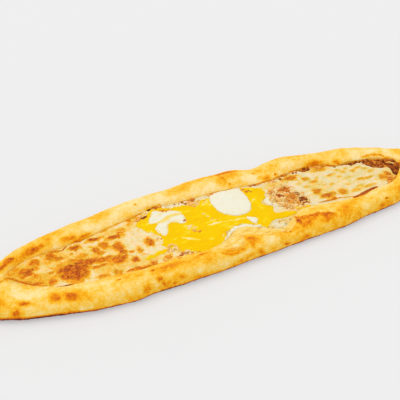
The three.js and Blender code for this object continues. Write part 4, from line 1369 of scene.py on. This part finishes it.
# Set egg white: the round one, the swirl, the piece on the near edge, and the small curds
whites = {
    "egg_white_round": {
        "ring": "roundWhite", "top": 12.4, "edge": 10.3, "rounding": 8, "tint": 0.03, "fade": 1.5,
        "relief": [(12, 0.3), (3, 0.08)], "ragged": [(9, 1.2), (4, 0.8), (2, 0.3)]},
    "egg_white_swirl": {
        "ring": "swirl", "top": 11.0, "edge": 10.4, "rounding": 3, "tint": 0.06, "fade": 2.4,
        "relief": [(8, 0.3), (3, 0.3)], "ragged": [(6, 1.8), (2.6, 1.5), (1.3, 0.8)]},
    "egg_white_edge": {
        "ring": "edgeWhite", "top": 11.3, "edge": 10.0, "rounding": 2.4, "tint": 0.5, "fade": 1,
        "relief": [(6, 0.5), (2.4, 1.0), (1.2, 0.5)], "ragged": [(4, 1.4), (2, 0.8)]},
}
curds = {
    "egg_curd_near": {"width": 5.6, "tint": 0.1,
                      "path": [(-6, -30), (0, -25), (8, -22.5), (16, -24), (22, -28), (29, -30)]},
    "egg_curd_low": {"width": 7, "tint": 0.1, "path": [(25, -14), (28, -19), (27, -24)]},
    "egg_curd_right": {"width": 6, "tint": 0.26, "path": [(58, 5), (54, 0), (55, -7)]},
}
curdShape = {"top": 11.5, "edge": 10.1, "rounding": 2.4, "fade": 1.2,
             "relief": [(3, 0.7), (1.6, 0.4)], "ragged": [(3, 1.6), (1.6, 0.8)]}
whiteShape = {"step": 0.5, "margin": 2, "curdMargin": 6}
# how the yolk shows in the white
whiteTone = {
    # yellow drawn through the white: (path, width, how yellow)
    "drawn": [([(-60, 18.4), (-52, 18.5), (-46.7, 20.2), (-40, 22.9), (-34, 22.4), (-28, 20.6)], 4.4, 0.85),
              ([(-51, 16), (-47, 16.9), (-43, 18)], 2.4, 0.5), ([(-50, 9), (-44, 13), (-36, 13)], 2.4, 0.5),
              ([(-53, 28), (-44, 31), (-36, 29)], 1.6, 0.4)],
    "drawnRagged": (4, 1.4), "drawnEdge": (1.6, 0.45),
    # at its edge the white thins out into the yolk: (how yellow, size of its patches, how much)
    "thinEdge": (0.45, 3, 0.5),
    # the shade varies, more where the tint is strong: (size, size), least, share of the tint
    "shade": {"sizes": (6, 2), "least": 0.1, "share": 0.9},
}


def whiteFields(tint, fade):
    def fieldsOf(x, y, depth):
        atX, atY = raggedPlan(whiteTone["drawnRagged"], x, y, seed=140)
        most, size, uneven = whiteTone["thinEdge"]
        yellow = most * (1 - smoothStep(0, fade, depth + uneven * fade * planNoise(x, y, size, seed=143)))
        yellow = np.maximum(yellow, strandCover(whiteTone["drawn"], whiteTone["drawnEdge"], atX, atY))
        shade = whiteTone["shade"]
        broad, fine = shade["sizes"]
        patches = planNoise(x, y, broad, seed=142) + planNoise(x, y, fine, seed=144)
        shade = tint + (shade["least"] + shade["share"] * tint) * patches
        return {"tint": np.clip(shade, 0, 1), "yellow": np.clip(yellow, 0, 1)}

    return fieldsOf


def makeSetWhite(node, shape, insideOf, outline, margin, seed):
    # one piece of set white, ragged at its edge, over the plan area where insideOf is above 0
    def depthOf(x, y):
        return insideOf(x, y) + planLayers(shape["ragged"], x, y, seed)

    def topOf(x, y):
        return shape["top"] + planLayers(shape["relief"], x, y, seed + 3)

    (x0, y0), (x1, y1) = outline.min(0) - margin, outline.max(0) + margin
    fields = whiteFields(shape["tint"], shape["fade"])
    shape = {**whiteShape, **shape}
    name = node.replace("egg_", "set_")
    return makeSheet(name, depthOf, topOf, shape["edge"], fillingLow, shape, (x0, x1, y0, y1), fields)


def makeWhite(node, shape):
    ring = rings[shape["ring"]]

    def insideOf(x, y):
        return ringDepth(ring, x, y)

    return makeSetWhite(node, shape, insideOf, ring, whiteShape["margin"], seed=150)


def makeCurd(node, shape):
    def insideOf(x, y):
        return strandDepth(shape["path"], shape["width"], x, y)

    shape = {**curdShape, **shape}
    return makeSetWhite(node, shape, insideOf, np.array(shape["path"]), whiteShape["curdMargin"], seed=160)


whiteColours = {
    "stops": [(0.0, (232, 229, 208)), (0.3, (236, 224, 188)), (0.6, (238, 212, 140)),
              (0.85, (232, 190, 104)), (1.0, (208, 144, 70))],
    "yellow": (243, 204, 14),
    "wobble": [(4, 0.25), (1.2, 0.25)],
    # grey specks where the white is thin and rough, partly its own grey and partly painted shade in its
    # crinkles: size, where they end, how soft, colour, how much by tint
    "specks": {"size": 1.5, "limit": 0.48, "soft": 0.08, "colour": (190, 178, 158), "byTint": 1.6},
    "gloss": (3, 0.3, 0.2),
    "grain": {"size": 5, "finer": [(1.4, 0.4)], "depth": 0.4},
    "finish": {"Specular IOR Level": 0.25, "Subsurface Weight": 0.2, "Subsurface Scale": 0.003,
               "Subsurface Radius": (1.0, 0.9, 0.7)},
}


def makeWhiteMaterial():
    material, tree, shader, place = startMaterial("setEggWhite", whiteColours["finish"])
    tint = addValue(tree, "tint")
    tone = wobble(tree, tint, place, whiteColours["wobble"])
    colour = addRamp(tree, tone, whiteColours["stops"])
    mixed = addMix(tree, addValue(tree, "yellow"), colour, (*linear(whiteColours["yellow"]), 1))
    # grey specks, partly painted shade in the crinkles of the thin white
    specks = whiteColours["specks"]
    limit = specks["limit"]
    grey = addRamp(tree, addNoise(tree, place, specks["size"]),
                   [(limit - specks["soft"], specks["colour"]), (limit, (255, 255, 255))])
    much = addMath(tree, "MINIMUM", addMath(tree, "MULTIPLY", tint, specks["byTint"]), 1)
    tree.links.new(addMix(tree, much, mixed, grey, "MULTIPLY"), shader.inputs["Base Color"])
    addGrain(tree, shader, place, whiteColours["grain"])
    addGloss(tree, shader, place, whiteColours["gloss"])
    return material


setWhite = makeWhiteMaterial()
for node, shape in whites.items():
    finishPiece(makeWhite(node, shape), setWhite, "egg_white", node)
for node, shape in curds.items():
    finishPiece(makeCurd(node, shape), setWhite, "egg_white", node)


# A thin skin of white, juice and fat that fills the hollow between the yolk and the rims
thinWhite = {
    "top": 10.25, "edge": 9.9, "rounding": 1, "step": 0.7, "underYolk": 3.5, "underDough": 0.5,
    "reach": (-52, 43), "margin": 3, "across": {"far": (8, 50), "near": (-48, 2)},
    "endsRagged": (0, 5, 3),
    "relief": [(6, 0.4), (2.4, 0.5), (1.2, 0.3)],
    "tint": {far: 0.22, near: 0.66}, "turn": (5, -8),
    "mottle": [(6, 0.5), (2.2, 0.5)],
    # streaks of yolk in it, twice as long as wide: (size, from, to, how yellow)
    "yellow": (4, 0.05, 0.5, 0.7),
}


def thinWhiteFields(x, y, depth):
    tint = blend(thinWhite["tint"][far], thinWhite["tint"][near], smoothStep(*thinWhite["turn"], y))
    tint = tint + planLayers(thinWhite["mottle"], x, y, seed=172)
    size, low, high, much = thinWhite["yellow"]
    yellow = much * smoothStep(low, high, planNoise(x / 2, y, size, seed=174))
    return {"tint": np.clip(tint, 0, 1), "yellow": np.clip(yellow, 0, 1)}


def makeThinWhite(name):
    left, right = thinWhite["reach"]

    def depthOf(x, y):
        ends = np.minimum(x - left, right - x) + patchy(thinWhite["endsRagged"], x, y, seed=170)
        depth = np.minimum(hollowDepth(x, y) + thinWhite["underDough"], ends)
        return np.minimum(depth, thinWhite["underYolk"] - yolkDepth(x, y))

    def topOf(x, y):
        return thinWhite["top"] + planLayers(thinWhite["relief"], x, y, seed=171)

    margin = thinWhite["margin"]
    box = (left - margin, right + margin, *thinWhite["across"][name])
    return makeSheet(
        "thinWhite_" + name, depthOf, topOf, thinWhite["edge"], fillingLow, thinWhite, box, thinWhiteFields)


for name in ("far", "near"):
    finishPiece(makeThinWhite(name), setWhite, "egg_white")


# Crumbs of browned mince. Tone runs from 0, dark brown, over red-brown and orange to 1, cream
crumbFields = {
    "cluster": {
        "count": 215, "radius": (0.7, 2.0), "tone": (0.6, 0.98), "box": (57, 97, -27, 20),
        "reach": 3, "long": 2.3,
        # places where the crumbs have a tone of their own: (x, y, reach, tone)
        "spots": [(71, 2, 3.2, 0.3), (81, 8, 4.2, 0.4), (88, -2, 3.6, 0.24), (87, -12, 3.6, 0.2),
                  (89, -19, 2.6, 0.16), (76, 10, 3.6, 0.5), (80, -5, 5.4, 0.52), (74, -12, 3, 0.8),
                  (83, -17, 2.4, 0.5)],
    },
    "strip": {
        "count": 190, "radius": (0.7, 1.9), "tone": (0.06, 0.4), "box": (60, 187, 8, 42),
        "reach": 0, "long": 1.4,
        "spots": [(136, 31, 10, 0.6), (144, 26, 4, 0.5), (97, 27, 9, 0.5), (78, 33, 12, 0.56),
                  (62, 37, 10, 0.52)],
    },
    "pocket": {
        "count": 150, "radius": (0.8, 2.3), "tone": (0.02, 0.44), "box": (180, 214, -23, 19),
        "reach": 0, "long": 1.3,
        "spots": [(192, 10, 1.6, 0.45), (186, 12, 1.2, 0.4), (197, -3, 2.2, 0.5), (199, 6, 1.4, 0.4)],
    },
}
crumbShape = {
    "seed": 41, "tries": 60, "draws": 10, "clear": 0.6, "smallerMore": 1.6,
    "knobs": 0.55, "knobSize": 0.9, "kinds": 1000, "fineFrom": 1.3,
    "lengthFrom": 0.9, "width": (0.75, 1.1), "height": (0.55, 0.85),
    "raise": 0.12, "underCheeseTop": 0.3,
    "spotReach": (0.7, 1.2), "spotTone": 0.1, "toneSize": 1.0, "toneUneven": 0.12,
}
# Single bits that lie about: (x, y, radius, tone)
strays = {
    "seed": 52,
    "byTheLip": [(-47, 42, 2.1, 0.3), (-43, 40, 1.5, 0.45), (-54, 41, 1.3, 0.02), (-45, 37, 1.1, 0.55),
                 (-43, 34, 1.5, 0.36), (-40, 32, 1.3, 0.3), (-37, 33, 1.2, 0.55), (-64, 32, 1.6, 0.08),
                 (-61, 33, 1.3, 0.16), (-68, 33, 1.8, 0.5), (-66, 36, 1.5, 0.8), (-71, 31, 1.4, 0.6),
                 (-10, 36, 2.2, 0.34), (-14, 34, 1.8, 0.5), (-18, 34, 1.3, 0.2), (-15, 30, 2, 0.66),
                 (-11, 31, 1.9, 0.76), (-12, 26, 1.6, 0.6), (-8, 28, 1.5, 0.78), (-6, 32, 1.5, 0.66),
                 (-28, 38, 1, 0.2), (-24, 37, 1.2, 0.3), (-20, 37, 1.2, 0.2), (13, 35, 1.8, 0.4),
                 (9, 36, 1.4, 0.55), (17, 37, 1.3, 0.46), (1, 30, 1.1, 0.5), (-1, 27, 1, 0.7),
                 (46, 24, 1.6, 0.3), (43, 28, 1.4, 0.4), (49, 22, 1.2, 0.24), (54, 31, 1.3, 0.3),
                 (58, 33, 1.2, 0.24), (61, 34, 1.5, 0.36)],
    "inTheYolk": [(-31, 10, 1.4, 0.3), (-30, -8, 1.5, 0.5), (-26, -11, 1.6, 0.46), (-30, 0, 1.7, 0.9),
                  (-33, -3, 1.5, 0.9), (-28, -4, 1.4, 0.8), (-62, -4, 1.1, 0.4), (-65, -2, 0.9, 0.5),
                  (-6, 1, 1.2, 0.6), (-10, 11, 1.3, 0.9), (-8, 6, 1.1, 0.86), (-3, -3, 0.9, 0.5)],
    "byTheNearLip": [(-53, -31, 1.3, 0.4), (-56, -34, 1.3, 0.3), (-60, -35, 1.2, 0.4),
                     (-81, -31, 1.6, 0.5), (-67, -32, 1.2, 0.5), (-72, -33, 1.4, 0.6),
                     (-46, -35, 1.2, 0.34), (-40, -37, 1, 0.3), (186, -25, 1.8, 0.4), (183, -28, 1.6, 0.5),
                     (189, -21, 1.8, 0.46), (191, -17, 1.6, 0.34), (192, -24, 1.5, 0.56),
                     (204, -1, 1.5, 0.6), (206, -4, 1.4, 0.66), (202, 1, 1.1, 0.5), (180, -31, 1.2, 0.6),
                     (187, -29, 1.2, 0.36)],
    # fine bits over the thin white along the far lip
    "fine": {"count": 46, "radius": (0.5, 1.1), "tone": (0.5, 1.0), "from": -72, "to": 20,
             "offLip": 1, "band": 11, "nearLipMore": 1.5},
    "ground": 10.2, "lighter": 0.1, "toneUneven": 0.08, "long": 1.7,
    # the larger ones are clumps: (along X and Y from the middle, size, all as shares of the radius)
    "clump": [(0, 0, 1), (1.1, 0.5, 0.66), (-0.9, 0.7, 0.6)], "clumpFrom": 1.2,
}


def crumbBall(level):
    bpy.ops.mesh.primitive_ico_sphere_add(subdivisions=level, radius=1)
    ball = bpy.context.object
    points = np.array([v.co for v in ball.data.vertices])
    faces = np.array([list(p.vertices) for p in ball.data.polygons])
    bpy.data.objects.remove(ball)
    return points, faces


crumbBalls = {"fine": crumbBall(3), "plain": crumbBall(2)}


def turned(points, random):
    # by a random turn
    q = random.normal(size=4)
    w, x, y, z = q / np.linalg.norm(q)
    turn = np.array([
        [1 - 2 * (y * y + z * z), 2 * (x * y - z * w), 2 * (x * z + y * w)],
        [2 * (x * y + z * w), 1 - 2 * (x * x + z * z), 2 * (y * z - x * w)],
        [2 * (x * z - y * w), 2 * (y * z + x * w), 1 - 2 * (x * x + y * y)]])
    return points @ turn.T


def makeCrumb(place, radius, tone, long, random):
    # one knobbly lump: its points, faces and tone
    shape = crumbShape
    ball, faces = crumbBalls["fine" if radius > shape["fineFrom"] else "plain"]
    ranges = [(shape["lengthFrom"], long), shape["width"], shape["height"]]
    size = radius * np.array([random.uniform(*limits) for limits in ranges])
    knobs = shape["knobs"] * layeredNoise(ball, shape["knobSize"], random.integers(shape["kinds"]))
    lump = turned(ball * (1 + knobs)[:, None], random) * size
    angle = random.uniform(0, np.pi)
    spin = np.array([[np.cos(angle), -np.sin(angle)], [np.sin(angle), np.cos(angle)]])
    lump[:, :2] = lump[:, :2] @ spin.T
    tone = tone + shape["toneUneven"] * layeredNoise(lump, shape["toneSize"], seed=170)
    return lump + np.array(place), faces, tone


def joinPieces(name, pieces):
    # pieces of (points, faces, tone) as one mesh
    faces, count = [], 0
    for points, itsFaces, _ in pieces:
        faces += [[int(i) + count for i in face] for face in itsFaces]
        count += len(points)
    points, tone = (np.concatenate([piece[part] for piece in pieces]) for part in (0, 2))
    return addMesh(name, points, faces, {"tone": np.clip(tone, 0, 1), "cream": np.zeros(count)})


def scatter(name, field, random):
    # evenly over the bare place, each new crumb the farthest of a few tries from the others
    x0, x1, y0, y1 = field["box"]
    many = crumbShape["tries"]
    places = np.empty((0, 2))
    while len(places) < field["count"]:
        tries = np.stack([random.uniform(x0, x1, many), random.uniform(y0, y1, many)], -1)
        bare = bareDepth(tries[:, 0], tries[:, 1])[name] + field["reach"]
        depth = np.minimum(bare, hollowDepth(tries[:, 0], tries[:, 1]))
        tries = tries[depth > crumbShape["clear"]][:crumbShape["draws"]]
        if not len(tries):
            continue
        clear = np.array([np.min(np.hypot(*(places - t).T)) if len(places) else huge for t in tries])
        places = np.concatenate([places, tries[clear.argmax()][None]])
    return places


def makeCrumbs():
    random = np.random.default_rng(crumbShape["seed"])
    spread = crumbShape["spotTone"]
    crumbs = []
    for name, field in crumbFields.items():
        for x, y in scatter(name, field, random):
            radius = blend(*field["radius"], random.random() ** crumbShape["smallerMore"])
            ground = float(meatHeight(np.array(x), np.array(y)))
            if bareDepth(np.array(x), np.array(y))[name] < 0:
                ground = cheese["top"] - crumbShape["underCheeseTop"]
            tone = random.uniform(*field["tone"])
            for atX, atY, reach, spotTone in field["spots"]:
                if np.hypot(x - atX, y - atY) < reach * random.uniform(*crumbShape["spotReach"]):
                    tone = spotTone + random.uniform(-spread, spread)
            place = (x, y, ground + radius * crumbShape["raise"])
            crumbs.append(makeCrumb(place, radius, tone, field["long"], random))
    return joinPieces("minceCrumbs", crumbs)


def makeStrays():
    random = np.random.default_rng(strays["seed"])
    bits = strays["byTheLip"] + strays["inTheYolk"] + strays["byTheNearLip"]
    fine, spread = strays["fine"], strays["toneUneven"]
    for x in random.uniform(fine["from"], fine["to"], fine["count"]):
        off = fine["offLip"] + fine["band"] * random.random() ** fine["nearLipMore"]
        radius, tone = random.uniform(*fine["radius"]), random.uniform(*fine["tone"])
        bits = bits + [(x, lipEdge(x, far) - off, radius, tone)]
    crumbs = []
    for x, y, radius, tone in bits:
        y = np.clip(y, lipEdge(x, near) + radius, lipEdge(x, far) - radius)
        ground = strays["ground"] + lipLevel(x) - dough["lipHeight"]
        for dx, dy, share in strays["clump"] if radius > strays["clumpFrom"] else strays["clump"][:1]:
            spot = (x + dx * radius, y + dy * radius, ground)
            its = tone + strays["lighter"] + random.uniform(-spread, spread)
            crumbs.append(makeCrumb(spot, share * radius, its, strays["long"], random))
    return joinPieces("strayCrumbs", crumbs)


browned = makeMinced("brownedMince", meatColours["crumbWobble"])
finishPiece(makeCrumbs(), browned, "meat", "meat")
finishPiece(makeStrays(), browned, "meat")


# Strings of melted cheese over the bare mound of mince, and a curl of onion by the near lip
strings = {
    "seed": 63, "count": 30, "reach": 2, "length": (5, 12), "radius": (0.25, 0.5), "bend": 1.1,
    "tone": (0.66, 1.0), "points": 10, "steps": 18, "height": 10.2, "arch": 0.4,
}
onionCurls = [
    {"path": [(-64.5, -25), (-63.4, -21), (-61, -17.5), (-57.6, -17), (-55.2, -19.5), (-54.8, -23),
              (-55.4, -28)],
     "radius": 1.1, "tone": 0.74},
    {"path": [(-61.3, -26), (-59, -22.6), (-56.6, -22.4), (-56, -26)], "radius": 1.2, "tone": 0.98},
    {"path": [(-53, -31.4), (-49.5, -31.6), (-46, -32.6)], "radius": 1.3, "tone": 1.0},
]
curlShape = {"height": 10.1, "arch": 0.8, "steps": 40}
# strands thin out at their ends, to this share of their radius, and are uneven in thickness and tone
strandShape = {"around": 8, "endShare": 0.3, "tip": 0.02, "unevenSize": 3, "uneven": 0.5, "toneUneven": 0.3}


def strandTube(path, radius, tone, shape):
    # a round strand along a path; it arches up in the middle
    path = np.array(path, float)
    lengths = np.concatenate([[0], np.cumsum(np.linalg.norm(np.diff(path, axis=0), axis=1))])
    steps, around = shape["steps"], strandShape["around"]
    share = np.linspace(0, 1, steps)
    x = np.interp(share * lengths[-1], lengths, path[:, 0])
    y = np.interp(share * lengths[-1], lengths, path[:, 1])
    middle = np.stack([x, y, shape["height"] + shape["arch"] * np.sin(np.pi * share)], -1)
    heading = np.gradient(middle, axis=0)
    heading /= np.linalg.norm(heading, axis=1, keepdims=True)
    side = np.cross(heading, [0, 0, 1])
    up = np.cross(side, heading)
    fullness = np.sin(np.pi * np.clip(share, strandShape["tip"], 1 - strandShape["tip"])) ** 0.5
    thick = radius * (strandShape["endShare"] + (1 - strandShape["endShare"]) * fullness)
    thick = thick * (1 + strandShape["uneven"] * layeredNoise(middle, strandShape["unevenSize"], seed=180))
    angle = np.linspace(0, 2 * np.pi, around, endpoint=False)
    ring = side[:, None] * np.cos(angle)[:, None] + up[:, None] * np.sin(angle)[:, None]
    points = (middle[:, None] + ring * thick[:, None, None]).reshape(-1, 3)
    index, _, faces = tubeFaces(steps, around)
    faces += [index[0].tolist(), index[-1][::-1].tolist()]
    uneven = strandShape["toneUneven"] * layeredNoise(points, strandShape["unevenSize"], seed=181)
    return points, faces, tone + uneven


def makeStrings():
    random = np.random.default_rng(strings["seed"])
    strands = []
    field = {**crumbFields["cluster"], "count": strings["count"], "reach": strings["reach"]}
    for x, y in scatter("cluster", field, random):
        length = random.uniform(*strings["length"])
        heading = random.uniform(0, np.pi)
        bend = strings["bend"] * random.uniform(-1, 1)
        share = np.linspace(0, 1, strings["points"])
        along, turn = (share - 0.5) * length, heading + bend * share
        path = np.stack([x + along * np.cos(turn), y + along * np.sin(turn)], -1)
        radius = random.uniform(*strings["radius"])
        strands.append(strandTube(path, radius, random.uniform(*strings["tone"]), strings))
    return joinPieces("cheeseStrings", strands)


def makeCurls():
    strands = []
    for curl in onionCurls:
        ring, sides = smoothRing(curl["path"]), len(curl["path"])
        openPath = ring[:len(ring) * (sides - 1) // sides]
        strands.append(strandTube(openPath, curl["radius"], curl["tone"], curlShape))
    return joinPieces("onionCurls", strands)


finishPiece(makeStrings(), browned, "cheese")
finishPiece(makeCurls(), browned, "meat")

shownLow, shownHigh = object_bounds()
for box, corners in {"cad": (*cadLow, *cadHigh), "visual": (*shownLow, *shownHigh)}.items():
    print(box, "box", [round(corner, 4) for corner in corners])
